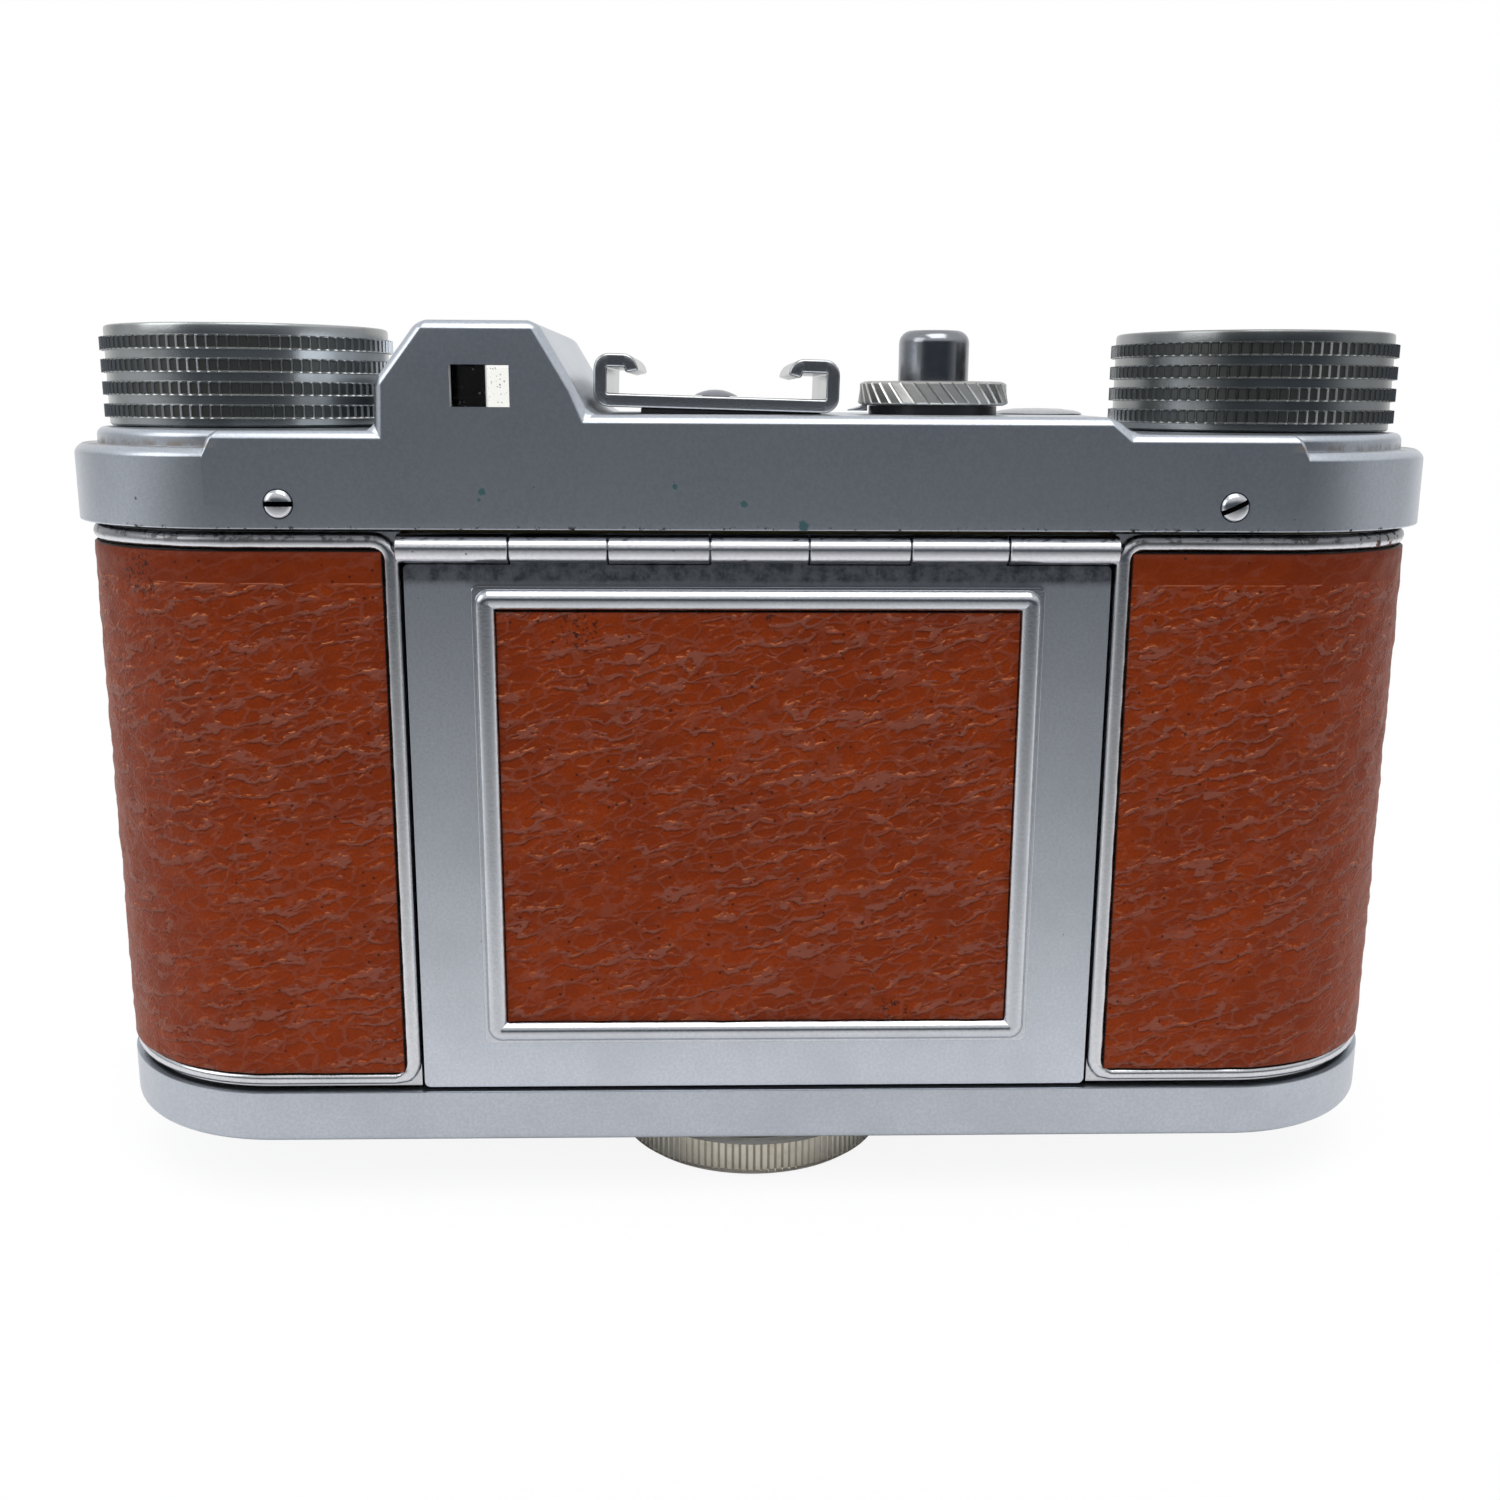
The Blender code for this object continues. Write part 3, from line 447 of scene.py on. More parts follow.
# %% Group: grime in turned grooves
tree, given, out = group("groove_grime",
                         {"Place": "Vector", "Axis": "Vector", "Ridge": "Float", "Depth": "Float"},
                         {"Grime": "Float", "Flank": "Float", "Sunk": "Float"})
arm = vector(tree, "SUBTRACT", given["Place"], given["Axis"])
flat_arm = vector(tree, "MULTIPLY", arm, (1, 1, 0))
reach = node(tree, "VectorMath", {0: flat_arm}, operation="LENGTH").outputs["Value"]
sunk = calc(tree, "DIVIDE", calc(tree, "SUBTRACT", given["Ridge"], reach), given["Depth"])
patch = ramp(tree, noise_of(tree, given["Place"], 0.5, 4, 0.65), 0.45, 0.75)
feed(tree, out["Grime"], times(tree, ramp(tree, sunk, 0.5, 1.0), scaled(tree, patch, 0.55, 0.12)))
feed(tree, out["Flank"], ramp(tree, sunk, 0.02, 0.12))
feed(tree, out["Sunk"], sunk)
print("group:", tree.name)

# %% [markdown]
# Brass under chrome turns green where moisture gets through. A spot is a small ball in space whose
# edge is broken up by noise, so it can be put anywhere on a piece by its place in millimetres.

# %% Group: corrosion spot
tree, given, out = group("spot", {"Place": "Vector", "Centre": "Vector", "Radius": "Float"},
                         {"Mask": "Float"})
ends = {0: given["Place"], 1: given["Centre"]}
far = node(tree, "VectorMath", ends, operation="DISTANCE").outputs["Value"]
ragged = scaled(tree, noise_of(tree, given["Place"], 2.2, 3), 0.9, -0.45)
edge = calc(tree, "ADD", calc(tree, "DIVIDE", far, given["Radius"]), ragged)
feed(tree, out["Mask"], ramp(tree, edge, 1.0, 0.55))
print("group:", tree.name)

# %% [markdown]
# The satin chrome of the cover, the base and the flap was blasted before plating, so it scatters a
# reflection instead of mirroring it. Its colour stays nearly even. Roughness and a fine bump do the
# work, with darker specks, and marks of its own where a piece needs them: dirt, and painted shade
# under the hinge and the cover.

# %% Finish: satin chrome


def new_finish(name):
    """A new material; returns it with its tree, its shader and its place in millimetres."""
    finish = bpy.data.materials.new(name)
    finish.use_nodes = True
    tree = finish.node_tree
    return finish, tree, tree.nodes["Principled BSDF"], use(tree, "place_mm")["Place"]


def toned(tone, share):
    """A colour with all its parts scaled alike."""
    return tuple(value * share for value in tone)


def bump(tree, shader, height, strength, distance=0.02):
    """Give a shader fine relief; distance is in millimetres."""
    relief = node(tree, "Bump", {"Height": height, "Strength": strength, "Distance": distance * MM})
    feed(tree, shader.inputs["Normal"], relief.outputs["Normal"])


def satin_chrome(name, tone, rough=0.3, specks=0.10, marks=None):
    """Blasted chrome; marks adds dirt and painted shade as (mask, colour) pairs made in the same tree."""
    finish, tree, shader, place = new_finish(name)
    wear = use(tree, "handled_metal", Place=place, **{"Speck Share": specks})
    stains_and_shade = marks(tree, place) if marks else []
    colour = layered(tree, tone, [
        (ramp(tree, wear["Cloud"], 0.35, 0.7), toned(tone, 0.92)),
        (ramp(tree, wear["Grain"], 0.35, 0.65, 0.0, 0.45), toned(tone, 0.72)),
        (times(tree, wear["Speck"], 0.75), (0.04, 0.04, 0.045)),
        *stains_and_shade])
    rougher = scaled(tree, wear["Cloud"], 0.06, rough - 0.03)
    for mask, _ in stains_and_shade:
        rougher = scaled(tree, mask, 0.25, rougher)
    plug(tree, shader, {"Base Color": colour, "Roughness": rougher, "Metallic": 1.0})
    bump(tree, shader, wear["Grain"], 0.35)
    return finish


CHROME = (0.555, 0.59, 0.64)
TEAL = (0.02, 0.11, 0.12)
DIRT = (0.10, 0.075, 0.05)
# Dark grey of the painted shade under the hinge, on the flap and on the bezel's upper step.
PAINTED_SHADE_GREY = (0.03, 0.034, 0.042)
trim_chrome = satin_chrome("satin_chrome_trim", (0.57, 0.59, 0.62), 0.2, 0.15)
alloy_satin = satin_chrome("satin_alloy", (0.58, 0.59, 0.60), 0.28, 0.05)
print("finishes:", trim_chrome.name, alloy_satin.name)

# %% [markdown]
# Nickel on the grips is greyer and warmer than chrome and holds dirt in its grooves. One recipe serves
# the collar and the lock knob, each with its own axis and ridge radius. The film knobs have their own,
# because hands have worn their ridges bright, and their cells are painted dark as dirt and the shade
# in them. Machined metal is simpler: it only has faint streaks along the way the tool went.

# %% Finish: nickel grips and bright steel
PIT = (0.03, 0.028, 0.025)


def grip_nickel(name, tone, axis, ridge, depth, rough=0.3, dirt=DIRT):
    """Plated grip round an upright axis: dull ridges, bright flanks and grime in the grooves."""
    finish, tree, shader, place = new_finish(name)
    wear = use(tree, "handled_metal", Place=place, **{"Speck Share": 0.2})
    grime = use(tree, "groove_grime", Place=place, Axis=axis, Ridge=ridge, Depth=depth)
    colour = layered(tree, tone, [
        (ramp(tree, wear["Cloud"], 0.3, 0.7, 0.4, 1.0), toned(tone, 0.45)),
        (grime["Flank"], tone),
        (grime["Grime"], dirt),
        (times(tree, wear["Speck"], 0.8), PIT)])
    plug(tree, shader, {"Base Color": colour, "Roughness": scaled(tree, grime["Grime"], 0.3, rough),
                        "Metallic": scaled(tree, grime["Grime"], -0.5, 1.0)})
    bump(tree, shader, wear["Grain"], 0.3)
    return finish


def knob_nickel(name, axis, ridge, depth, shine):
    """Finish of a film knob: worn bright ridges, cells between them painted dark as dirt and shade, and
    smooth grooves.
    """
    tones = ((0.55, 0.56, 0.56), (0.46, 0.48, 0.48), (0.34, 0.35, 0.34))
    ridged, pale, dim = (toned(tone, shine) for tone in tones)
    finish, tree, shader, place = new_finish(name)
    wear = use(tree, "handled_metal", Place=place, **{"Speck Share": 0.3})
    sunk = use(tree, "groove_grime", Place=place, Axis=axis, Ridge=ridge, Depth=depth)["Sunk"]
    smooth = mixed(tree, ramp(tree, wear["Cloud"], 0.4, 0.65), pale, dim)
    # Dirt and painted shade: the sunk cells between the ridges are painted nearly black.
    cell_dirt_and_shade = times(tree, ramp(tree, sunk, 0.30, 0.44), ramp(tree, sunk, 0.75, 0.6))
    colour = layered(tree, ridged, [
        (ramp(tree, sunk, 0.6, 0.9), smooth),
        (cell_dirt_and_shade, (0.08, 0.085, 0.08)),
        (times(tree, wear["Speck"], 0.8), PIT)])
    plug(tree, shader, {"Base Color": colour, "Roughness": scaled(tree, cell_dirt_and_shade, 0.2, 0.24),
                        "Metallic": 1.0})
    bump(tree, shader, wear["Grain"], 0.3)
    return finish


def plain_metal(name, tone, rough, stretch=(1, 1, 1)):
    """Machined metal with streaks along the direction in which the place is stretched least."""
    finish, tree, shader, place = new_finish(name)
    streak = noise_of(tree, vector(tree, "MULTIPLY", place, stretch), 1.5, 4, 0.6)
    wear = use(tree, "handled_metal", Place=place, **{"Speck Share": 0.03})
    colour = layered(tree, tone, [(streak, toned(tone, 0.75)),
                                  (times(tree, wear["Speck"], 0.7), (0.05, 0.045, 0.04))])
    plug(tree, shader, {"Base Color": colour, "Roughness": scaled(tree, streak, 0.15, rough),
                        "Metallic": 1.0})
    bump(tree, shader, streak, 0.15)
    return finish


bright_steel = plain_metal("bright_steel", (0.66, 0.67, 0.69), 0.12)
spring_steel = plain_metal("drawn_steel", (0.42, 0.42, 0.43), 0.25, (0.3, 0.3, 3))
turned_brass = plain_metal("turned_brass", (0.62, 0.45, 0.19), 0.25, (1, 1, 6))
print("finishes:", bright_steel.name, spring_steel.name, turned_brass.name)

# %% [markdown]
# Black parts inside are painted or cast. A dark colour alone looks like a hole, so the paint has a
# fine orange-peel bump and pales in soft clouds where it is rubbed. Glass is clear and smooth, with a
# faint bloom from its coating and a few specks of dust, which are what makes it visible.

# %% Finish: black paint and glass


def black_paint(name, tone, rough, crinkle):
    """Stoved black paint; crinkle is the strength of its relief."""
    finish, tree, shader, place = new_finish(name)
    cloud = use(tree, "handled_metal", Place=place, **{"Speck Share": 0.0})["Cloud"]
    colour = mixed(tree, ramp(tree, cloud, 0.35, 0.7), tone, toned(tone, 2.2))
    plug(tree, shader, {"Base Color": colour, "Roughness": scaled(tree, cloud, 0.2, rough)})
    bump(tree, shader, noise_of(tree, place, 3.0, 2), crinkle, 0.05)
    return finish


def coated_glass(name, tint, coat, dusty, index=1.5):
    """Lens glass with a faint coating bloom and a little dust on it."""
    finish, tree, shader, place = new_finish(name)
    away, chance = scatter(tree, place, 2.4)
    dot = ramp(tree, away, scaled(tree, chance["Green"], 0.22, 0.10), 0.06)
    dust = times(tree, dot, calc(tree, "LESS_THAN", chance["Red"], dusty))
    plug(tree, shader, {"Base Color": mixed(tree, dust, tint, (0.10, 0.10, 0.09)),
                        "Roughness": scaled(tree, dust, 0.6, 0.02), "Transmission Weight": 1.0,
                        "IOR": index, "Coat Weight": coat, "Coat Tint": (0.55, 0.6, 1.0)})
    return finish


black_enamel = black_paint("black_enamel", (0.016, 0.016, 0.018), 0.22, 0.1)
black_matt = black_paint("black_matt", (0.012, 0.012, 0.013), 0.6, 0.4)
cast_black = black_paint("cast_black", (0.02, 0.02, 0.021), 0.5, 0.9)
lens_glass = coated_glass("lens_glass", (0.95, 0.96, 1.0), 0.3, 0.04)
finder_glass = coated_glass("finder_glass", (0.97, 0.97, 0.95), 0.0, 0.4, 1.2)
finder_black = black_paint("finder_black", (0.002, 0.002, 0.002), 0.7, 0.2)
unlit = finder_black.node_tree.nodes["Principled BSDF"].inputs["Specular IOR Level"]
unlit.default_value = 0.0
print("finishes:", black_enamel.name, cast_black.name, lens_glass.name, finder_glass.name)

# %% [markdown]
# The covering is leather, dyed orange brown, with long low pebbles that climb a little to the right.
# The broad swell of the hide is real geometry and each vertex keeps it in an attribute called swell.
# The grain is finer than any sensible mesh, so it is made of short wavy creases over a net of pebbles,
# painted paler and greyer as the sheen on their ridges. The same lines moved up a little and compared with
# themselves give the thin upper lip of each wrinkle, painted bright in places as a highlight that grows
# higher up, and the same lines moved down give a painted shadow just below each wrinkle.

# %% Grain of the leather
FOLD_Z = 50.35
LIP = 0.15
WAVE_STEP = 2 * pi / 20
BLOTS = (((-15.0, -17.0, 46.8), 2.4), ((0.8, -17.0, 47.6), 0.7),
         ((12.0, -17.0, 12.2), 2.0), ((-52.0, -14.0, 51.0), 2.5))


def streaks(tree, place, period):
    """Short wavy creases across the hide that come and go along their way."""
    stretched = vector(tree, "MULTIPLY", place, (0.45, 0.45, 1))
    sockets = {"Vector": stretched, "Scale": WAVE_STEP / period, "Distortion": 9.0, "Detail": 3.0,
               "Detail Scale": 2.6, "Detail Roughness": 0.55}
    wave = node(tree, "TexWave", sockets, bands_direction="Z").outputs["Fac"]
    kept = ramp(tree, noise_of(tree, stretched, 0.8 / period, 2, 0.55), 0.40, 0.54)
    return times(tree, ramp(tree, wave, 0.78, 0.99), kept)


def pebble_net(tree, place, wide, tall, thick):
    """Lines along the borders of stretched cells."""
    stretched = vector(tree, "MULTIPLY", place, (1 / wide, 1 / wide, 1 / tall))
    sockets = {"Vector": stretched, "Scale": 1.0}
    border = node(tree, "TexVoronoi", sockets, feature="DISTANCE_TO_EDGE").outputs[0]
    kept = ramp(tree, noise_of(tree, place, 0.5, 3, 0.6), 0.34, 0.56)
    return times(tree, ramp(tree, border, thick, thick * 0.25), kept)


def wrinkles(tree, place):
    """Wavy creases with a weaker net of pebbles between them."""
    net = pebble_net(tree, place, 2.0, 1.0, 0.11)
    return calc(tree, "MAXIMUM", streaks(tree, place, 1.55), times(tree, net, 0.45))


print("grain folds at", FOLD_Z, "mm")

# %% [markdown]
# Two more things come from how the camera was covered. A line under the hinge shows where the hide was
# pressed flat by the folded edge above it, so the grain is weaker there. The rim is black with glue,
# and a few blots and pores are left from use.

# %% Finish: leather
leather, tree, shader, place = new_finish("brown_leather")
swell = node(tree, "Attribute", {}, attribute_name="swell").outputs["Fac"]
rim = node(tree, "Attribute", {}, attribute_name="rim").outputs["Fac"]
parts = axes(tree, place)
climb = scaled(tree, parts["X"], -0.22, parts["Z"])
lifted = node(tree, "CombineXYZ", {0: parts["X"], 1: parts["Y"], 2: climb}).outputs[0]
sockets = {"Vector": place, "Scale": 0.4, "Detail": 4.0, "Roughness": 0.6}
drift = node(tree, "TexNoise", sockets).outputs["Color"]
sway = vector(tree, "MULTIPLY_ADD", drift, (1.8, 1.8, 1.1), lifted)
pressed = ramp(tree, parts["Z"], FOLD_Z - 0.15, FOLD_Z + 0.15)
crease = times(tree, wrinkles(tree, sway), scaled(tree, pressed, -0.7, 1.0))


def beside(lift):
    """What shows beside the creases when the same lines are moved up or down; it places painted highlights
    and shadows.
    """
    moved = wrinkles(tree, vector(tree, "ADD", sway, (0, 0, lift)))
    bare = calc(tree, "SUBTRACT", calc(tree, "SUBTRACT", moved, crease), pressed)
    return calc(tree, "MAXIMUM", bare, 0.0)


# lip is a painted highlight on each wrinkle's upper edge, and shade a painted shadow just below each
# wrinkle.
lip, shade = beside(-LIP), beside(LIP)
fine = noise_of(tree, place, 4.0, 3, 0.65)
cloud = noise_of(tree, place, 0.14, 3, 0.6)
dashes = noise_of(tree, vector(tree, "MULTIPLY", place, (0.6, 0.6, 1.2)), 1.5, 3, 0.6)
# Where the painted highlights show: random spots, more of them higher up where the light from above falls.
lit = times(tree, ramp(tree, dashes, 0.52, 0.61), ramp(tree, parts["Z"], 10, 45, 0.6, 1.0))
from_fold = calc(tree, "ABSOLUTE", calc(tree, "SUBTRACT", parts["Z"], FOLD_Z))
broken = ramp(tree, noise_of(tree, place, 0.5, 3), 0.45, 0.6)
fold_line = times(tree, ramp(tree, from_fold, 0.07, 0.02), broken)
away, chance = scatter(tree, place, 0.9)
pore = times(tree, ramp(tree, away, 0.16, 0.08), calc(tree, "LESS_THAN", chance["Red"], 0.5))
blotted = ramp(tree, noise_of(tree, place, 2.0, 4, 0.7), 0.52, 0.6)
blots = [use(tree, "spot", Place=place, Centre=centre, Radius=radius)["Mask"] for centre, radius in BLOTS]
colour = layered(tree, (0.235, 0.031, 0.0015), [
    (ramp(tree, cloud, 0.3, 0.7), (0.180, 0.023, 0.0015)),
    (ramp(tree, fine, 0.4, 0.7, 0.0, 0.5), (0.14, 0.014, 0.001)),
    (ramp(tree, swell, 0.15, 0.75, 0.3, 0.0), (0.13, 0.014, 0.002)),
    (times(tree, pressed, 0.3), (0.10, 0.014, 0.003)),
    # Painted shadow just below each wrinkle.
    (times(tree, shade, 0.6), (0.075, 0.009, 0.001)),
    # Creases painted paler and greyer, as the sheen on their ridges.
    (times(tree, crease, 0.85), (0.205, 0.064, 0.042)),
    # Painted highlight on the wrinkles' upper lips.
    (times(tree, lip, lit), (0.50, 0.16, 0.065)),
    (times(tree, fold_line, 0.6), (0.42, 0.14, 0.07)),
    (times(tree, pore, 0.75), (0.02, 0.005, 0.003)),
    *((times(tree, blot, blotted), (0.045, 0.011, 0.006)) for blot in blots),
    (ramp(tree, rim, 0.05, 0.8), (0.008, 0.004, 0.003))])
plug(tree, shader, {"Base Color": colour, "Roughness": scaled(tree, fine, 0.3, 0.3),
                    "Specular IOR Level": 0.1, "Sheen Weight": 0.12, "Sheen Roughness": 0.35,
                    "Sheen Tint": (1.0, 0.6, 0.45)})
relief = calc(tree, "ADD", times(tree, crease, 0.7), times(tree, fine, 0.6))
relief = times(tree, relief, scaled(tree, pressed, -0.6, 1.0))
bump(tree, shader, relief, 0.9, 0.16)
print("finish:", leather.name)

# %% [markdown]
# ## The top cover
#
# The cover is one deep pressing in steps: a skirt with round ends, a knob plateau that leaves a ledge
# round each end, the raised deck and the finder hump. The skirt and the plateau's ends are slabs with
# round ends. The plateau, the deck and the hump share one outline seen from behind, so they are one
# bar of that outline, and one bevel rounds all its edges. A Boolean union makes one skin of them. A
# single subdivided cage could do it too, but the steps would be hard to keep at their heights.

# %% Outlines that become solids
ROUND_SIDES = 112


def stadium(name, radius, low, high, end_x):
    """A slab with round ends: a disc whose halves are moved apart and extruded."""
    fresh()
    half_step = pi / ROUND_SIDES
    bpy.ops.mesh.primitive_circle_add(vertices=ROUND_SIDES, radius=radius / cos(half_step),
                                      fill_type="NGON", location=(0, 0, low), rotation=(0, 0, half_step))
    slab = take(name)
    for side in (-1, 1):
        select(slab, "VERT", lambda corner: corner.co.x * side > 0)
        bpy.ops.transform.translate(value=(side * end_x, 0, 0))
    select(slab, "FACE", lambda face: True)
    push(0, 0, high - low)
    weld(slab)
    return slab


def outline_bar(name, points, half_y):
    """A bar along y: a filled ring of corners is pulled to an (x, z) outline and extruded."""
    fresh()
    bpy.ops.mesh.primitive_circle_add(vertices=len(points), fill_type="NGON")
    bar = take(name)
    for corner, (x, z) in zip(bar.data.vertices, points):
        corner.co = (x, -half_y, z)
    select(bar, "FACE", lambda face: True)
    push(0, 2 * half_y, 0)
    weld(bar)
    return bar


print("helpers for slabs and bars are ready")

# %% Steps of the top cover
cover_low, cover_high = in_mm("top_cover")
COVER_R = cover_high.y
END_X = cover_high.x - COVER_R
SKIRT_Z = cover_low.z
HUMP_Z = cover_high.z
LEDGE_Z = 61.5
PLATEAU_Z = 62.87
DECK_Z = 64.2
LEDGE_W = 1.95
PLATEAU_END_X = 43.95
COVER_WALL = 1.0
BAR_LOW = SKIRT_Z + 2
DECK_END = 29.0
DECK_SKEW = 4.0
STEPS = [(-45.2, BAR_LOW), (-45.2, LEDGE_Z), (-44.5, PLATEAU_Z), (-31.3, PLATEAU_Z), (-31.15, 66.8),
         (-27.5, HUMP_Z), (-18.05, HUMP_Z), (-15.0, 66.4), (-14.05, DECK_Z), (DECK_END, DECK_Z),
         (DECK_END + 1.6, PLATEAU_Z), (44.5, PLATEAU_Z), (45.2, LEDGE_Z), (45.2, BAR_LOW)]

cover = stadium("cover", COVER_R, SKIRT_Z, LEDGE_Z, END_X)
bevel(cover, at("z", LEDGE_Z), 0.85, 6, 0.42)
bevel(cover, at("z", SKIRT_Z), 0.15, 2)
plateau_ends = stadium("plateau_ends", COVER_R - LEDGE_W, SKIRT_Z + 1, PLATEAU_Z, END_X)
bevel(plateau_ends, at("z", PLATEAU_Z), 0.7, 5)
steps = outline_bar("steps", STEPS, COVER_R)
select(steps, "VERT", lambda corner: corner.co.y > 0 and DECK_END - 1 < corner.co.x < DECK_END + 2)
bpy.ops.transform.translate(value=(DECK_SKEW, 0, 0))
fresh(steps)


def rounded_edge(edge):
    """An upper edge of the bar: along y or in its end faces, but not the two upright ends."""
    high = max(corner.co.z for corner in edge.verts) > BAR_LOW + 0.5
    return high and not (along("z")(edge) and abs(edge.verts[0].co.x) > END_X)


bevel(steps, rounded_edge, 0.74, 6, 0.4)
combine(cover, plateau_ends, "UNION")
combine(cover, steps, "UNION")
print("cover in one skin:", len(cover.data.polygons), "faces")

# %% [markdown]
# The pressing is hollow. Slabs and a bar that are drawn in by the wall's thickness are cut out from
# below. Then come the windows of the finder and the holes for the knobs' shafts, the release and the
# screws.

# %% Hollow and holes
KNOB_X = sum(corner.x for corner in in_mm("wind_knob")) / 2
RELEASE_X = sum(corner.x for corner in in_mm("release_button")) / 2
unlock_low, unlock_high = in_mm("rewind_release")
UNLOCK = (unlock_low + unlock_high) / 2
SCREW_X = 39.24
SCREW_Z = 56.97
EYEPIECE_X = (-25.07, -20.27)
EYEPIECE_Z = (64.76, 68.1)
WINDOW_X = (-27.0, -18.1)
WINDOW_Z = (64.0, 68.8)
ROOM_X = 42.9
ROOM_FOOT = SKIRT_Z - 1
UNDER_PLATEAU, UNDER_HUMP, UNDER_DECK = (z - COVER_WALL for z in (PLATEAU_Z, HUMP_Z, DECK_Z))
ROOM = [(-ROOM_X, ROOM_FOOT), (-ROOM_X, UNDER_PLATEAU), (-29.9, UNDER_PLATEAU), (-29.9, 66.6),
        (-26.9, UNDER_HUMP), (-18.6, UNDER_HUMP), (-16.0, 66.0), (-15.05, UNDER_DECK),
        (DECK_END - 0.4, UNDER_DECK), (DECK_END + 1.2, UNDER_PLATEAU), (ROOM_X, UNDER_PLATEAU),
        (ROOM_X, ROOM_FOOT)]
SHAFT_HOLE, RELEASE_HOLE, UNLOCK_HOLE, SCREW_HOLE = 3.2, 3.6, 4.5, 1.24

inner_r = COVER_R - COVER_WALL
combine(cover, stadium("room", inner_r, ROOM_FOOT, LEDGE_Z - COVER_WALL, END_X))
combine(cover, outline_bar("room", ROOM, inner_r))
combine(cover, block("eyepiece", (EYEPIECE_X[0], -COVER_R - 1, EYEPIECE_Z[0]),
                     (EYEPIECE_X[1], -COVER_R + 4, EYEPIECE_Z[1])))
combine(cover, block("window", (WINDOW_X[0], COVER_R - 4, WINDOW_Z[0]),
                     (WINDOW_X[1], COVER_R + 1, WINDOW_Z[1])))
for x, y, radius in ((KNOB_X, 0, SHAFT_HOLE), (-KNOB_X, 0, SHAFT_HOLE), (RELEASE_X, 0, RELEASE_HOLE),
                     (UNLOCK.x, UNLOCK.y, UNLOCK_HOLE)):
    drill(cover, radius, (x, y, LEDGE_Z - 3), 8)
for x in (-SCREW_X, SCREW_X):
    drill(cover, SCREW_HOLE, (x, -COVER_R - 1, SCREW_Z), 4, ALONG_LENS)
print("holes cut; cover has", len(cover.data.polygons), "faces")

# %% [markdown]
# The cover's own marks are a few green spots on its rear face, nicks along its lower edge and brown
# dirt in the ledge under each knob. Each is a mask made from the place, so nothing is painted by hand.

# %% Marks on the cover
SPOTS = ((-22.7, 58.0, 0.42), (-7.0, 58.45, 0.34), (-1.3, 57.1, 0.4), (3.6, 55.3, 0.6),
         (-22.95, 57.35, 0.2))


def cover_marks(tree, place):
    """Green spots, nicks at the lower edge and dirt in the ledge."""
    marks = []
    for x, z, radius in SPOTS:
        mask = use(tree, "spot", Place=place, Centre=(x, -COVER_R, z), Radius=radius)["Mask"]
        marks.append((times(tree, mask, 0.85), TEAL))
    parts = axes(tree, place)
    chips = ramp(tree, noise_of(tree, place, 1.2, 4, 0.7), 0.57, 0.62)
    low = ramp(tree, parts["Z"], SKIRT_Z + 0.45, SKIRT_Z + 0.1)
    marks.append((times(tree, chips, low), (0.03, 0.03, 0.03)))
    ledge = times(tree, ramp(tree, parts["Z"], LEDGE_Z - 0.15, LEDGE_Z + 0.02),
                 ramp(tree, parts["Z"], LEDGE_Z + 0.7, LEDGE_Z + 0.2))
    outer = ramp(tree, calc(tree, "ABSOLUTE", parts["X"]), PLATEAU_END_X - 0.4, PLATEAU_END_X + 0.4)
    stain = times(tree, ramp(tree, noise_of(tree, place, 0.5, 4, 0.7), 0.35, 0.65), 0.6)
    marks.append((times(tree, times(tree, ledge, outer), stain), (0.22, 0.16, 0.09)))
    return marks


cover_chrome = satin_chrome("satin_chrome_cover", CHROME, marks=cover_marks)
settle(cover, "body", "satin_chrome", cover_chrome, "top_cover", angle=30)

# %% [markdown]
# Two slotted cheese-head screws hold the cover at the back. The head is turned with a low dome and
# the slot is cut with a thin box; below the head the steel is painted black, as the shade in the slot. The
# right one stands at a slant, as the last fitter left it.

# %% Cover screws


def slot_shaded_steel(name, floor_y):
    """Bright steel painted black below the head, as the shade where only the slot is seen."""
    finish = bright_steel.copy()
    finish.name = name + "_steel"
    tree = finish.node_tree
    shader = tree.nodes["Principled BSDF"]
    depth = axes(tree, use(tree, "place_mm")["Place"])["Y"]
    colour = shader.inputs["Base Color"].links[0].from_socket
    # Painted shade: the steel turns nearly black from a little above the slot's floor inwards.
    below = ramp(tree, depth, floor_y, floor_y + 0.1)
    feed(tree, shader.inputs["Base Color"], mixed(tree, below, colour, (0.006, 0.006, 0.006)))
    return finish


for name, x, slant in (("cover_screw_left", -SCREW_X, 0), ("cover_screw_right", SCREW_X, 25)):
    head_low, head_high = in_mm(name)
    tall = head_high.y - head_low.y
    profile = [(0.8, 0), (0.8, tall - 0.95), (1.17, tall - 0.95), (1.17, tall - 0.4),
               (1.08, tall - 0.22), (0.85, tall - 0.1), (0.45, tall - 0.02), (0.1, tall)]
    screw = turned(name + "_piece", profile, 40)
    slot_tool = block("slot", (-2, -0.21, tall - 0.55), (2, 0.21, tall + 1))
    combine(screw, stand(slot_tool, (0, 0, 0), (0, 0, radians(slant))))
    stand(screw, (x, head_high.y, SCREW_Z), (pi / 2, 0, 0))
    settle(screw, "body", "bright_chrome", slot_shaded_steel(name, head_low.y + 0.42), name)

# %% [markdown]
# ## Film knobs
#
# Each knob is turned with four ribs between a plain top band and a plain foot. The ribs are cut into
# small cells with sharp ridges between them. The circle has as many sides as a rib has cells, so
# insetting each side face of a rib by itself, inwards, makes the whole knurl in one step.

# %% Film knobs
knob_low, knob_high = in_mm("wind_knob")
KNOB_R = (knob_high.x - knob_low.x) / 2
KNOB_FOOT = PLATEAU_Z + 0.1
KNOB_TOP = knob_high.z
TILES = 92
RIBS = 4
RIB_PITCH = 1.9
RIB_H = 1.14
FIRST_RIB = knob_low.z + 0.76
RIB_DEPTH = 0.42
CELL_DEPTH = 0.2


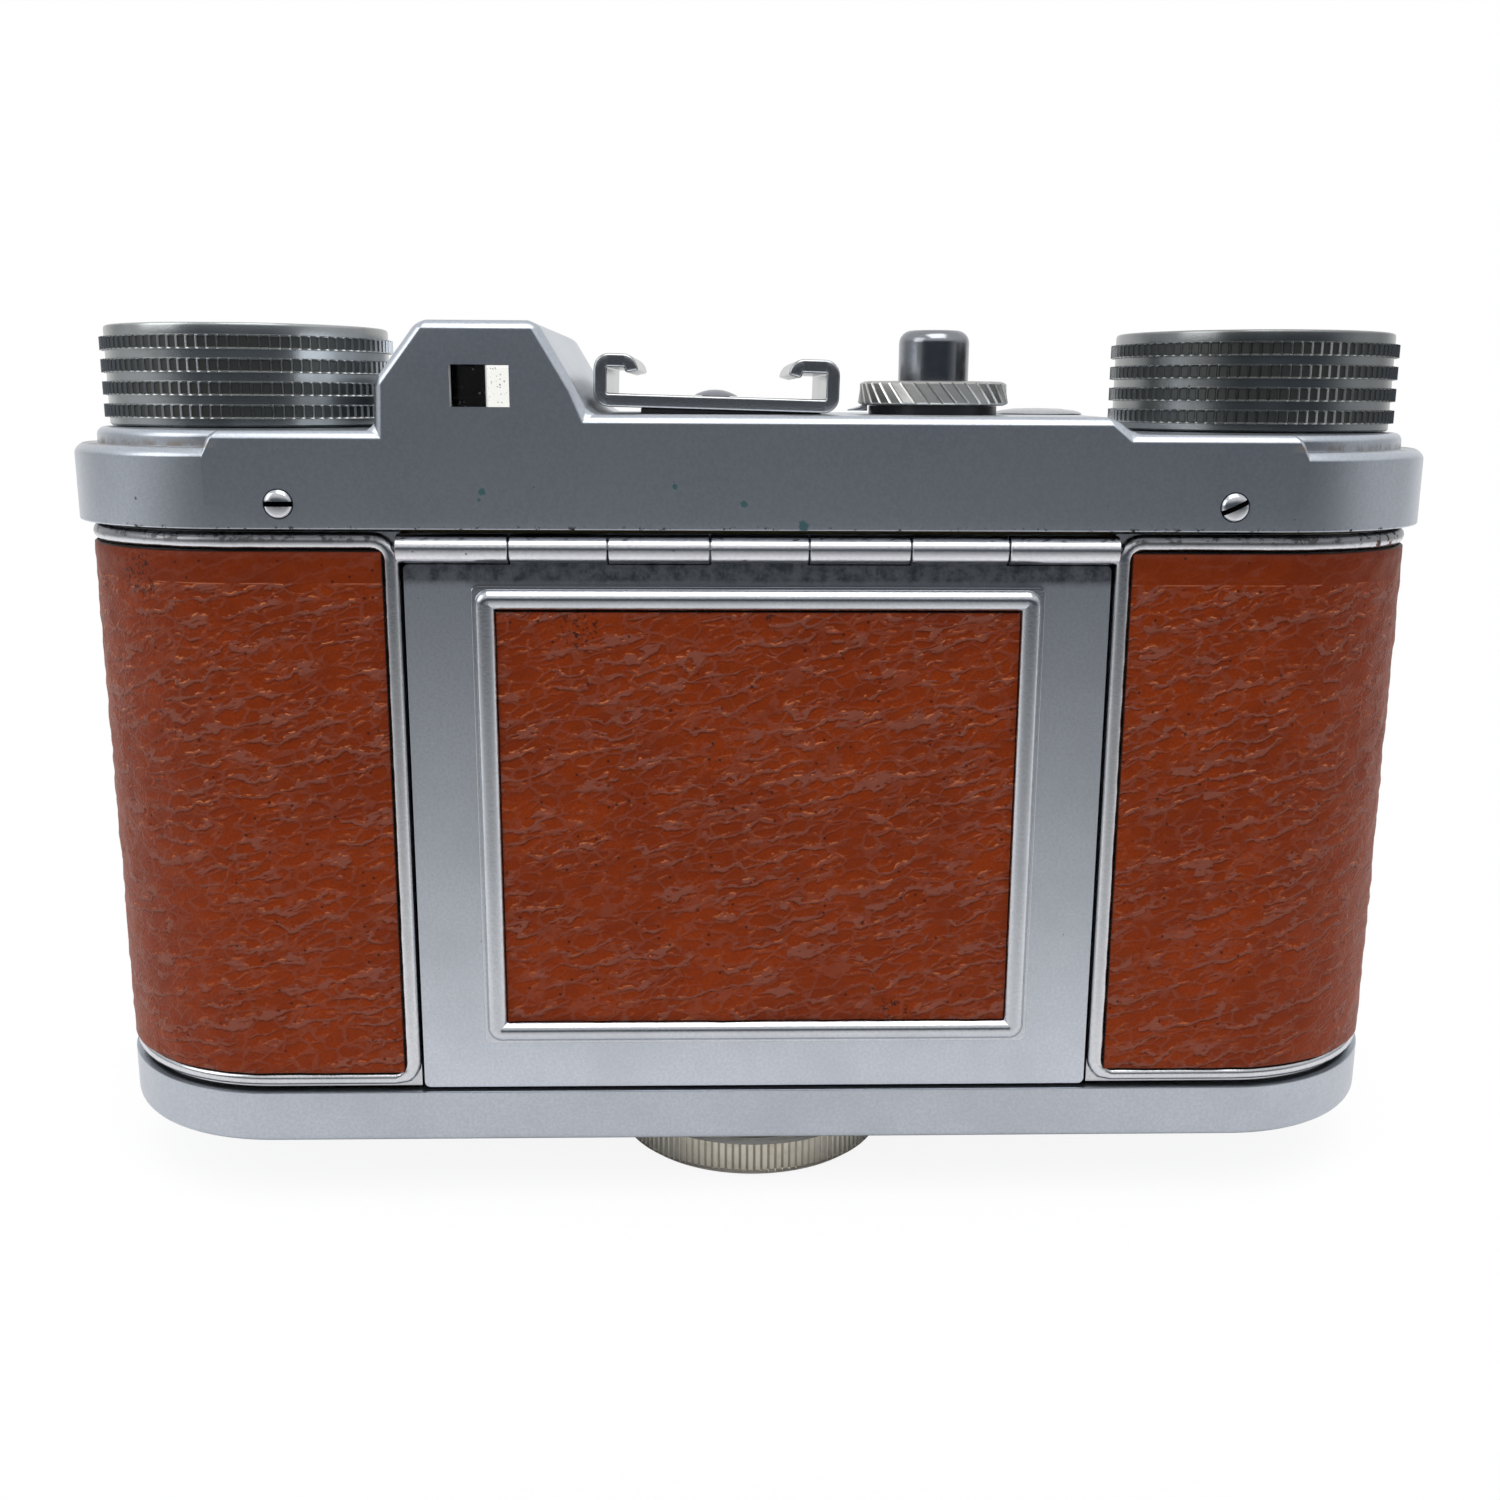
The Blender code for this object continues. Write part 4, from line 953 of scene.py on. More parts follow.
def knob(name, x):
    """One ribbed knob on its shaft's axis."""
    groove = KNOB_R - RIB_DEPTH
    rib_feet = [FIRST_RIB + i * RIB_PITCH for i in range(RIBS)]
    profile = [(2.5, KNOB_TOP - 2.0), (2.5, KNOB_FOOT), (5.2, KNOB_FOOT), (5.2, KNOB_TOP - 4.0),
               (10.3, KNOB_TOP - 4.0), (10.3, KNOB_FOOT), (groove - 0.15, KNOB_FOOT),
               (groove, KNOB_FOOT + 0.15)]
    for z in rib_feet:
        profile += [(groove, z - 0.05), (KNOB_R, z), (KNOB_R, z + RIB_H), (groove, z + RIB_H + 0.05)]
    profile += [(groove, KNOB_TOP - 0.25), (groove - 0.07, KNOB_TOP - 0.08), (groove - 0.25, KNOB_TOP),
                (groove - 1.5, KNOB_TOP), (groove - 1.7, KNOB_TOP - 0.15), (2.4, KNOB_TOP - 0.15),
                (2.2, KNOB_TOP - 0.4), (2.2, KNOB_TOP - 1.1)]
    thing = turned(name, profile, TILES)
    for z in rib_feet:
        knurl(thing, band(z + 0.1, z + RIB_H - 0.1, KNOB_R - 0.1), 0.15, -CELL_DEPTH)
    return stand(thing, (x, 0, 0))


for name, node_name, x, shine in (("knob_left", "rewind", -KNOB_X, 1.0),
                                  ("knob_right", "wind", KNOB_X, 0.65)):
    nickel = knob_nickel("nickel_" + name, (x, 0, 0), KNOB_R, RIB_DEPTH, shine)
    settle(knob(name, x), node_name, "knurled_nickel", nickel, node_name + "_knob", angle=30)
    low, high = in_mm(node_name + "_knob_screw")
    radius = (high.x - low.x) / 2
    screw = turned(name + "_screw", [(radius, low.z), (radius, low.z + 0.3), (radius - 0.3, high.z - 0.1),
                                     (0.3, high.z)], 32)
    combine(screw, block("slot", (-3, -0.2, high.z - 0.3), (3, 0.2, high.z + 1)))
    settle(stand(screw, (x, 0, 0)), node_name, "bright_chrome", bright_steel, node_name + "_knob_screw")

# %% [markdown]
# ## Accessory shoe
#
# The shoe is a strip of sheet metal. Each end of its floor is bent up, in and down again, which is
# what the spin operator does with a face: it sweeps it round an axis. Straight stretches between the
# bends are plain extrusions. It sits a little high on its left, so it is tilted as one piece, and a
# black wedge fills the gap under it as painted shade.

# %% Accessory shoe
shoe_low, shoe_high = in_mm("accessory_shoe")
SHOE_X = -3.6
SHOE_HALF = 10.6
SHOE_SHEET = 1.15
SHOE_H = 4.5
SHOE_TILT = radians(1.4)
SHOE_LIFT = DECK_Z + 0.1 + SHOE_HALF * sin(SHOE_TILT)
BEND_R = 1.3


def bend(side, centre_x, centre_z, degrees):
    """Sweep the selected end face of a sheet round an axis along y."""
    bpy.ops.mesh.spin(steps=6, angle=radians(degrees), center=(centre_x, 0, centre_z), axis=(0, side, 0))


bend_x = SHOE_HALF - BEND_R
shoe = block("shoe", (-bend_x, shoe_low.y, 0), (bend_x, shoe_high.y, SHOE_SHEET))
for side, lip in ((1, 1.8), (-1, 1.2)):
    select(shoe, "FACE", at("x", side * bend_x))
    bend(side, side * bend_x, BEND_R, 90)
    push(0, 0, SHOE_H - 2 * BEND_R)
    bend(side, side * bend_x, SHOE_H - BEND_R, 90)
    push(-side * lip, 0, 0)
    bend(side, side * (bend_x - lip), SHOE_H - BEND_R, 76)
    push(-side * 0.1, 0, -0.35)
    fresh(shoe)
weld(shoe)
sharp_bevel(shoe, 0.2, 3)
drill(shoe, 1.6, (0, 0, -1), 3)
stand(shoe, (SHOE_X, 0, SHOE_LIFT), (0, SHOE_TILT, 0))
dim_steel = plain_metal("dim_steel", (0.31, 0.32, 0.34), 0.12)
shoe_chrome = satin_chrome("shoe_chrome", (0.45, 0.455, 0.46), 0.24, 0.06)
settle(shoe, "body", "satin_chrome", shoe_chrome, "accessory_shoe", angle=35)

# Painted shade: a black wedge fills the gap under the shoe, where there is only shade.
shadow_wedge = block("shoe_packing", (-6.5, shoe_low.y + 0.5, -1),
                (SHOE_HALF - 1.5, shoe_high.y - 0.5, -0.02))
deck_below = (DECK_Z + 0.02 - SHOE_LIFT) / cos(SHOE_TILT)
for corner in shadow_wedge.data.vertices:
    if corner.co.z < -0.5:
        corner.co.z = deck_below + corner.co.x * sin(SHOE_TILT) / cos(SHOE_TILT)
sharp_bevel(shadow_wedge, 0.05, 1)
stand(shadow_wedge, (SHOE_X, 0, SHOE_LIFT), (0, SHOE_TILT, 0))
settle(shadow_wedge, "body", "black_alloy", black_matt)

head_z = SHOE_SHEET + 0.05
screw = turned("shoe_screw_piece", [(1.3, -0.05), (1.3, head_z), (2.0, head_z), (1.8, SHOE_SHEET + 0.2),
                                    (1.3, SHOE_SHEET + 0.42), (0.7, SHOE_SHEET + 0.58),
                                    (0.2, SHOE_SHEET + 0.62)], 40)
combine(screw, block("slot", (-3, -0.25, SHOE_SHEET + 0.35), (3, 0.25, SHOE_SHEET + 2)))
stand(screw, (SHOE_X, 0, SHOE_LIFT), (0, SHOE_TILT, 0))
settle(screw, "body", "bright_chrome", dim_steel, "shoe_screw")

# %% [markdown]
# ## Release, counter ring and rewind release
#
# The release is a round-topped button. The collar round it is a ring with a slanted knurl: the ring
# is made with straight side faces, its upper rim is turned a little about the axis, and the slanted
# faces are then inset one by one.

# %% Release
button_low, button_high = in_mm("release_button")
BUTTON_R = (button_high.x - button_low.x) / 2
BUTTON_TOP = button_high.z - 0.2
ring_low, ring_high = in_mm("counter_ring")
RING_R = (ring_high.x - ring_low.x) / 2
RING_Z = (ring_low.z - 0.4, ring_high.z - 0.25)
RING_TEETH = 36
RING_SLANT = 1.35

BUTTON_SOFT = 1.15
soft_r, soft_z = BUTTON_R - BUTTON_SOFT, BUTTON_TOP - BUTTON_SOFT
cap = [(soft_r + BUTTON_SOFT * sin(a), soft_z + BUTTON_SOFT * cos(a))
       for a in [radians(90 - 15 * i) for i in range(6)]]
button = turned("release_cap", [(1.5, button_low.z), (1.5, DECK_Z + 0.6), (BUTTON_R, DECK_Z + 0.6),
                                *cap, (1.2, BUTTON_TOP - 0.02), (1.05, BUTTON_TOP - 0.15),
                                (0.9, BUTTON_TOP - 0.8)], 64)
stand(button, (RELEASE_X, 0, 0))
settle(button, "release", "bright_chrome", dim_steel, "release_button")

# %% [markdown]
# The release comes back up on a coil spring. A small circle beside the axis is swept round it by a
# Screw modifier, which also lifts it by one pitch a turn.

# %% Return spring
spring_low, spring_high = in_mm("release_spring")
COIL_R = 2.3
COIL_WIRE = 0.24
COIL_TURNS = 4
COIL_LENGTH = spring_high.z - spring_low.z
COIL_SIDES = 28

fresh()
bpy.ops.mesh.primitive_circle_add(vertices=10, radius=COIL_WIRE, rotation=(pi / 2, 0, 0),
                                  location=(COIL_R, 0, spring_low.z + COIL_WIRE))
coil = take("return_coil")
modify(coil, "SCREW", steps=COIL_SIDES, render_steps=COIL_SIDES, iterations=COIL_TURNS,
       screw_offset=(COIL_LENGTH - 2 * COIL_WIRE) / COIL_TURNS)
select(coil, "EDGE", lambda edge: edge.is_boundary)
bpy.ops.mesh.fill_holes(sides=0)
weld(coil)
stand(coil, (RELEASE_X, 0, 0))
settle(coil, "body", "spring_steel", spring_steel, "release_spring")
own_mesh(coil)

# %% [markdown]
# The collar is set by hand, so its rim is cut for the fingers. It turns on a black seat that stands on
# the deck, and only a thin dark line of that seat is seen below it.

# %% Counter ring
RING_BORE = BUTTON_R + 0.4
upper_r = RING_R - 0.35
profile = [(RING_BORE, RING_Z[0]), (RING_R - 0.5, RING_Z[0]), (RING_R - 0.15, RING_Z[0] + 0.12),
           (upper_r, RING_Z[1] - 0.12), (upper_r - 0.3, RING_Z[1]), (RING_BORE, RING_Z[1])]
counter = turned("counter_grip", profile, RING_TEETH, hollow=True)
select(counter, "VERT", lambda corner: corner.co.z > (RING_Z[0] + RING_Z[1]) / 2)
bpy.ops.transform.rotate(value=2 * pi / RING_TEETH * RING_SLANT, orient_axis="Z", center_override=(0, 0, 0))
fresh(counter)
knurl(counter, band(RING_Z[0] + 0.2, RING_Z[1] - 0.2, upper_r - 0.3), 0.13, 0.15)
stand(counter, (RELEASE_X, 0, 0))
ring_nickel = grip_nickel("nickel_counter", (0.55, 0.55, 0.53), (RELEASE_X, 0, 0), RING_R, 0.3)
settle(counter, "counter", "knurled_nickel", ring_nickel, "counter_ring", angle=25)

# %% Counter seat
SEAT_R = 5.87
seat_foot, seat_top = DECK_Z + 0.02, RING_Z[0] - 0.03
seat = turned("counter_seat", [(RING_BORE, seat_foot), (SEAT_R, seat_foot), (SEAT_R, seat_top),
                               (RING_BORE, seat_top)], 96, hollow=True)
stand(seat, (RELEASE_X, 0, 0))
settle(seat, "body", "black_alloy", black_enamel, "counter_base")

# %% [markdown]
# The dome to the right of the release is a low button, and a small wedge beside the collar is the
# counter's pointer.

# %% Rewind release and pointer
dome_r = (unlock_high.x - unlock_low.x) / 2
dome_top = unlock_high.z - 0.5
dome = turned("unlock_dome", [(1.2, unlock_low.z), (1.2, DECK_Z - 3.8), (dome_r, DECK_Z - 3.8),
                              (dome_r, DECK_Z + 0.1), (dome_r - 0.2, DECK_Z + 0.25),
                              (dome_r - 0.8, DECK_Z + 0.4), (dome_r - 2.0, dome_top - 0.05),
                              (0.4, dome_top)], 64)
stand(dome, (UNLOCK.x, UNLOCK.y, 0))
settle(dome, "unlock", "bright_chrome", alloy_satin, "rewind_release")

tab_low, tab_high = in_mm("counter_pointer")
tab = block("pointer_tab", tab_low, tab_high)
select(tab, "EDGE", lambda edge: at("z", tab_high.z)(edge) and at("x", tab_low.x)(edge))
bpy.ops.transform.translate(value=(0, 0, 0.12 - (tab_high.z - tab_low.z)))
fresh(tab)
sharp_bevel(tab, 0.08)
settle(tab, "body", "bright_chrome", bright_steel, "counter_pointer")

# %% [markdown]
# ## Body shell, mouldings and leather
#
# Under the leather is a pressed shell with round ends, open at the back for the flap and at the front
# for the lens. It is a slab with round ends again, with a smaller slab cut out of it.

# %% Body shell
shell_low, shell_high = in_mm("body_shell")
SHELL_R = 16.0
BODY_R = shell_high.y
flap_low, flap_high = in_mm("back_flap")
FLAP_HALF = flap_high.x
AXIS_Z = sum(corner.z for corner in in_mm("lens_panel")) / 2

shell = stadium("shell", SHELL_R, shell_low.z, shell_high.z, END_X)
combine(shell, stadium("room", 14.6, shell_low.z - 1, shell_high.z + 1, 44.0))
opening = FLAP_HALF + 0.25
combine(shell, block("opening", (-opening, -20, 0), (opening, -10, 60)))
drill(shell, 15.2, (0, 10, AXIS_Z), 10, ALONG_LENS, 64)
settle(shell, "body", "satin_alloy", alloy_satin, "body_shell")

# %% [markdown]
# One half-round moulding frames both leather panels: it runs up beside the flap, round the body under
# the cover, down on the other side and back round the base. A profile could be swept along each side
# by itself, but the corners would not meet well. A curve with a round bevel makes it in one piece, and
# it is then turned into a mesh.

# %% Half-round wire


def wire(name, points, radius, share_at=lambda place_mm: 1):
    """A closed round wire through points, as a mesh; share_at thins it at a point."""
    line = bpy.data.curves.new(name, "CURVE")
    line.dimensions = "3D"
    line.bevel_depth = radius
    line.bevel_resolution = 5
    spline = line.splines.new("POLY")
    spline.points.add(len(points) - 1)
    for point, place_mm in zip(spline.points, points):
        point.co = (*place_mm, 1)
        point.radius = share_at(place_mm)
    spline.use_cyclic_u = True
    thing = bpy.data.objects.new(name, line)
    bpy.context.collection.objects.link(thing)
    fresh(thing)
    bpy.ops.object.convert(target="MESH")
    return bpy.context.object


print("wire helper ready")

# %% Mouldings round the leather
ROLL_R = 0.77
ROLL_LOW = 6.0
ROLL_HIGH = 53.83
LOW_ROLL_SHARE = 0.8
BEAD_X = opening + 0.72
CORNER_R = 1.5


def corner_arc(side, z, start):
    """Quarter round from the upright bead to a roll, in the rear face."""
    turn = 1 if z == ROLL_HIGH else -1
    middle = (side * (BEAD_X + CORNER_R), z - turn * CORNER_R)
    steps = [i / 5 * pi / 2 for i in range(6)]
    arc = [(middle[0] - side * CORNER_R * cos(a), middle[1] + turn * CORNER_R * sin(a)) for a in steps]
    return [(x, -SHELL_R, height) for x, height in (arc if start else reversed(arc))]


def end_arc(side, z):
    """Half round of one end, from the back to the front."""
    turns = [-pi / 2 + pi * i / 32 for i in range(33)]
    return [(side * (END_X + SHELL_R * cos(a)), SHELL_R * sin(a), z) for a in turns]


def run_round(side, z):
    """From one bead round the whole body to the other, at one height."""
    return (corner_arc(side, z, True) + end_arc(side, z) + end_arc(-side, z)[::-1]
            + corner_arc(-side, z, False))


moulding = wire("moulding", run_round(-1, ROLL_HIGH) + run_round(1, ROLL_LOW), ROLL_R,
                lambda place_mm: LOW_ROLL_SHARE if place_mm[2] < ROLL_LOW + 0.2 else 1)


def trim_dirt_and_shade(tree, place):
    """Brown dirt where the moulding meets the leather on the right, and painted shade under the cover."""
    near = use(tree, "spot", Place=place, Centre=(54.0, -12.5, 53.4), Radius=4.5)["Mask"]
    broken = ramp(tree, noise_of(tree, place, 0.9, 4, 0.7), 0.5, 0.6)
    height = axes(tree, place)["Z"]
    # Painted shade: the top of the upper roll is darker just under the cover's edge.
    shade_under_cover = ramp(tree, height, ROLL_HIGH - 0.35, ROLL_HIGH + 0.2, 0.0, 0.85)
    patchy = ramp(tree, broken, 0.0, 1.0, 0.6, 1.0)
    return [(times(tree, near, broken), (0.09, 0.03, 0.015)),
            (times(tree, shade_under_cover, patchy), (0.05, 0.042, 0.04))]


moulding_chrome = satin_chrome("satin_chrome_moulding", (0.63, 0.64, 0.66), 0.2, 0.05, trim_dirt_and_shade)
settle(moulding, "body", "satin_chrome", moulding_chrome, angle=60)

# %% [markdown]
# Leather is modelled as a grid that is wrapped round the body. Every vertex is moved by a slow swell,
# longer along the body than across it, which makes the outline of the ends slightly uneven like real
# hide. Towards its rim the leather dips under the moulding, where it is dark with old glue. A
# Solidify modifier gives it its thickness.

# %% Leather helpers
SKIN = 0.5
SWELL = 0.22
CELL = 0.42
RIM_W = 0.15


def swell_at(place_mm):
    """Slow unevenness of the hide from 0 to 1."""
    x, y, z = place_mm
    broad = noise.noise(Vector((x / 2.6, y / 2.6, (z - 0.2 * x) / 1.3)))
    small = noise.noise(Vector((x / 1.2, y / 1.2, z / 0.8)) + Vector((9, 4, 2)))
    return min(1.0, max(0.0, 0.5 + 0.55 * broad + 0.25 * small))


def spread(share, cells, length):
    """Distance along a row of cells whose outermost ones are only as wide as the rim."""
    step = round(share * cells)
    if step in (0, cells):
        return share * length
    if step == 1:
        return RIM_W
    if step == cells - 1:
        return length - RIM_W
    return min(max(share * length, RIM_W), length - RIM_W)


def leather_sheet(name, length_at, wrap, up):
    """Wrap a grid; length_at gives a row's length, and wrap a place and a normal along it."""
    wide = max(length_at(height) for height in up)
    across, rows = int(wide / CELL), int((up[1] - up[0]) / CELL)
    fresh()
    bpy.ops.mesh.primitive_grid_add(x_subdivisions=across, y_subdivisions=rows, size=1)
    sheet = take(name)
    swell_kept = sheet.data.attributes.new("swell", "FLOAT", "POINT")
    rim_kept = sheet.data.attributes.new("rim", "FLOAT", "POINT")
    for i, corner in enumerate(sheet.data.vertices):
        height = up[0] + spread(corner.co.y + 0.5, rows, up[1] - up[0])
        row = length_at(height)
        run = spread(corner.co.x + 0.5, across, row)
        inset = min(run, row - run, height - up[0], up[1] - height)
        edge = max(0.0, 1 - inset / RIM_W)
        spot, normal = wrap(run)
        flat = Vector((*spot, height))
        tall = swell_at(flat)
        corner.co = flat + normal * (SWELL * (tall - 0.8) - 0.25 * edge * edge)
        swell_kept.data[i].value = tall
        rim_kept.data[i].value = edge
    weld(sheet)
    modify(sheet, "SOLIDIFY", thickness=SKIN, offset=-1)
    return sheet


print("leather helpers ready; swell", SWELL, "mm")

# %% [markdown]
# Each end has one piece of leather from the bead beside the flap, round the end and on to the lens
# panel. The grid's rows follow that way, and each row is as long as the curve of the panel lets it be.

# %% Leather on the two ends
skin_low, skin_high = in_mm("right_leather")
SKIN_REAR_X = BEAD_X + ROLL_R - 0.15
PANEL_CLEAR = in_mm("lens_panel")[1].x + 0.4
REAR_RUN = END_X - SKIN_REAR_X
ROUND_RUN = pi * BODY_R


def end_wrap(side):
    """Place and outward normal at a distance along one end's leather, from the flap to the lens."""
    def wrap(run):
        if run < REAR_RUN:
            return (side * (SKIN_REAR_X + run), -BODY_R), Vector((0, -1, 0))
        if run < REAR_RUN + ROUND_RUN:
            a = -pi / 2 + (run - REAR_RUN) / BODY_R
            normal = Vector((side * cos(a), sin(a), 0))
            return (side * END_X + normal.x * BODY_R, normal.y * BODY_R), normal
        return (side * (END_X - (run - REAR_RUN - ROUND_RUN)), BODY_R), Vector((0, 1, 0))
    return wrap


def end_length(height):
    """The leather ends in a curve round the lens panel."""
    front_x = sqrt(PANEL_CLEAR ** 2 - (height - AXIS_Z) ** 2)
    return REAR_RUN + ROUND_RUN + END_X - front_x


for name, side in (("left", -1), ("right", 1)):
    sheet = leather_sheet("leather_" + name, end_length, end_wrap(side),
                          (skin_low.z - 0.35, skin_high.z + 0.08))
    settle(sheet, "body", "leather", leather, name + "_leather", angle=80)

# %% [markdown]
# ## Rear flap and hinge
#
# The flap is a flat plate that hangs on a piano hinge. Its knuckles and the fixed leaf's knuckles take
# turns along the pin. A knuckle is a short turned bar laid along x, and a web carries it from its
# plate. The bars of each side are one piece with a smoother finish than the plates.

# %% Hinge knuckles
hinge_low, hinge_high = in_mm("hinge_pin")
HINGE_Y = (hinge_low.y + hinge_high.y) / 2
PIN_Z = (hinge_low.z + hinge_high.z) / 2
HINGE_Z = PIN_Z - 0.33
HINGE_R = 1.22
HINGE_BORE = 0.75
KNUCKLE_X = (-30.15, -20.8, -12.6, -4.12, 4.12, 12.6, 20.8, 30.15)
KNUCKLES = list(zip(KNUCKLE_X, KNUCKLE_X[1:]))
KNUCKLE_EASE = 0.06
WEB_HALF = 29.2
KNUCKLE_GAP = 0.07


def knuckle(x0, x1):
    """A short bar along the hinge with eased ends."""
    long = x1 - x0 - 2 * KNUCKLE_GAP
    bar = turned("knuckle", [(HINGE_R - KNUCKLE_EASE, 0), (HINGE_R, KNUCKLE_EASE),
                             (HINGE_R, long - KNUCKLE_EASE), (HINGE_R - KNUCKLE_EASE, long)], 48)
    return stand(bar, (x0 + KNUCKLE_GAP, HINGE_Y, HINGE_Z), ALONG_BODY)


def knuckle_row(name, first):
    """Every other knuckle, bored for the pin."""
    bars = [knuckle(x0, x1) for x0, x1 in KNUCKLES[first::2]]
    bars[0].name = name
    row = joined(*bars)
    drill(row, HINGE_BORE, (-40, HINGE_Y, PIN_Z), 80, ALONG_BODY, 24)
    return row


def add_webs(thing, first, low, high):
    """Webs between a plate and its knuckles, rounded out where the knuckles lie."""
    for x0, x1 in KNUCKLES[first::2]:
        x0, x1 = max(x0 + KNUCKLE_GAP, -WEB_HALF), min(x1 - KNUCKLE_GAP, WEB_HALF)
        web = block("web", (x0, *low), (x1, *high))
        drill(web, HINGE_R - 0.1, (-40, HINGE_Y, HINGE_Z), 80, ALONG_BODY, 48)
        combine(thing, web, "UNION")


leaf = block("hinge_fixed_leaf", (-29.4, -14.75, 50.0), (29.4, -14.0, 54.4))
add_webs(leaf, 0, (HINGE_Y, 53.2), (-14.4, 54.3))
settle(leaf, "body", "satin_chrome", trim_chrome, "hinge_leaf", angle=40)
hinge_chrome = satin_chrome("satin_chrome_hinge", (0.72, 0.72, 0.75), 0.22, 0.3)
settle(knuckle_row("leaf_knuckles", 0), "body", "satin_chrome", hinge_chrome, angle=40)
settle(knuckle_row("flap_knuckles", 1), "flap", "satin_chrome", hinge_chrome, angle=40)

# %% [markdown]
# The plate itself is a box with eased edges. Behind it stands a thin rim that goes into the body and
# keeps light out, and the webs of its knuckles rise from its upper edge.

# %% Flap plate
TRAP_INSET, TRAP_WALL = 1.3, 0.9
FLAP_Y = (-16.3, -15.3)
FLAP_Z = (flap_low.z - 0.25, 51.97)
TRAP_TOP = 50.4

flap = block("flap", (-FLAP_HALF, FLAP_Y[0], FLAP_Z[0]), (FLAP_HALF, FLAP_Y[1], FLAP_Z[1]))
bevel(flap, along("y"), 0.5, 4)
bevel(flap, at("y", FLAP_Y[0]), 0.1, 2)
TRAP_BORE = TRAP_INSET + TRAP_WALL
trap = block("trap", (-FLAP_HALF + TRAP_INSET, FLAP_Y[1] - 0.2, FLAP_Z[0] + TRAP_INSET),
             (FLAP_HALF - TRAP_INSET, -14.3, TRAP_TOP - TRAP_INSET))
combine(trap, block("room", (-FLAP_HALF + TRAP_BORE, -20, FLAP_Z[0] + TRAP_BORE),
                    (FLAP_HALF - TRAP_BORE, -10, TRAP_TOP - TRAP_BORE)))
combine(flap, trap, "UNION")
add_webs(flap, 1, (FLAP_Y[0], FLAP_Z[1] - 1), (FLAP_Y[1], HINGE_Z))


def flap_painted_shade(tree, place):
    """Painted shade on the strip of the flap under the hinge's overhang."""
    parts = axes(tree, place)
    broken = ramp(tree, noise_of(tree, place, 0.8, 4, 0.7), 0.35, 0.7, 0.75, 0.95)
    # Painted shade: the flap is darker in a strip just under the hinge.
    shade_under_hinge = ramp(tree, parts["Z"], FLAP_Z[1] - 2.2, FLAP_Z[1] - 1.2)
    return [(times(tree, shade_under_hinge, broken), PAINTED_SHADE_GREY)]


flap_chrome = satin_chrome("satin_chrome_flap", CHROME, marks=flap_painted_shade)
settle(flap, "flap", "satin_chrome", flap_chrome, "back_flap", angle=35)

# %% [markdown]
# The bezel is a picture frame with a flat outer step and a half-round bead. The step is a plate with a
# window cut out of it, and the bead is a wire with small rounded corners, half sunk in the plate.

# %% Flap bezel
BEZEL_MORE = Vector((0.2, 0, 0.2))
cad_bezel_low, cad_bezel_high = in_mm("flap_bezel")
bezel_low, bezel_high = cad_bezel_low - BEZEL_MORE, cad_bezel_high + BEZEL_MORE
BEZEL_STEP = 0.3
STEP_W = 0.13
BEZEL_BEAD_R = 1.0
BEZEL_CORNER = 0.4


def rounded_frame(half_x, low, high, y, corner):
    """Points of an upright rectangle with rounded corners."""
    middles = ((half_x - corner, high - corner), (corner - half_x, high - corner),
               (corner - half_x, low + corner), (half_x - corner, low + corner))
    return [(x + corner * cos(a), y, z + corner * sin(a)) for i, (x, z) in enumerate(middles)
            for a in [(i + step / 8) * pi / 2 for step in range(9)]]


step_y = bezel_high.y - BEZEL_STEP
bezel = block("bezel", (bezel_low.x, step_y, bezel_low.z),
              (bezel_high.x, FLAP_Y[0] + 0.05, bezel_high.z))
bevel(bezel, along("y"), 0.5, 3)
bevel(bezel, at("y", step_y), 0.12, 2)
inset = STEP_W + BEZEL_BEAD_R
combine(bezel, block("window", (bezel_low.x + inset, -20, bezel_low.z + inset),
                     (bezel_high.x - inset, -10, bezel_high.z - inset)))
frame_points = rounded_frame(bezel_high.x - inset, bezel_low.z + inset, bezel_high.z - inset,
                             bezel_low.y + BEZEL_BEAD_R, BEZEL_CORNER)
bead = wire("bead", frame_points, BEZEL_BEAD_R)
joined(bezel, bead)


def bezel_painted_shade(tree, place):
    """Painted shade on the upper step, above the bead, under the hinge."""
    height = axes(tree, place)["Z"]
    step_z = bezel_high.z - STEP_W
    # Painted shade: the upper step is darker above the bead.
    return [(ramp(tree, height, step_z - 0.12, step_z - 0.02, 0.0, 0.85), PAINTED_SHADE_GREY)]


bezel_chrome = satin_chrome("satin_chrome_bezel", (0.57, 0.59, 0.62), 0.2, 0.15, bezel_painted_shade)
settle(bezel, "flap", "satin_chrome", bezel_chrome, "flap_bezel", angle=50)

# %% [markdown]
# The leather on the flap lies flat inside the bezel, so the same grid is wrapped round nothing: every
# row has the same length and every normal points to the back.

# %% Flap leather
pad_low, pad_high = in_mm("flap_leather")
PAD_MORE = 0.36
pad_wide = pad_high.x - pad_low.x + 2 * PAD_MORE


def flat_wrap(run):
    """Place and normal at a distance along the flap's leather."""
    return (pad_low.x - PAD_MORE + run, pad_low.y), Vector((0, -1, 0))


pad = leather_sheet("leather_flap", lambda height: pad_wide, flat_wrap,
                    (pad_low.z - PAD_MORE, pad_high.z + PAD_MORE))
settle(pad, "flap", "leather", leather, "flap_leather", angle=80)

# %% [markdown]
# ## Base plate and lock knob
#
# The base is a shallow tray with round ends. The knob under it locks it to the body. Its edge has fine
# straight flutes: the side faces of the band are inset one by one, inwards this time.

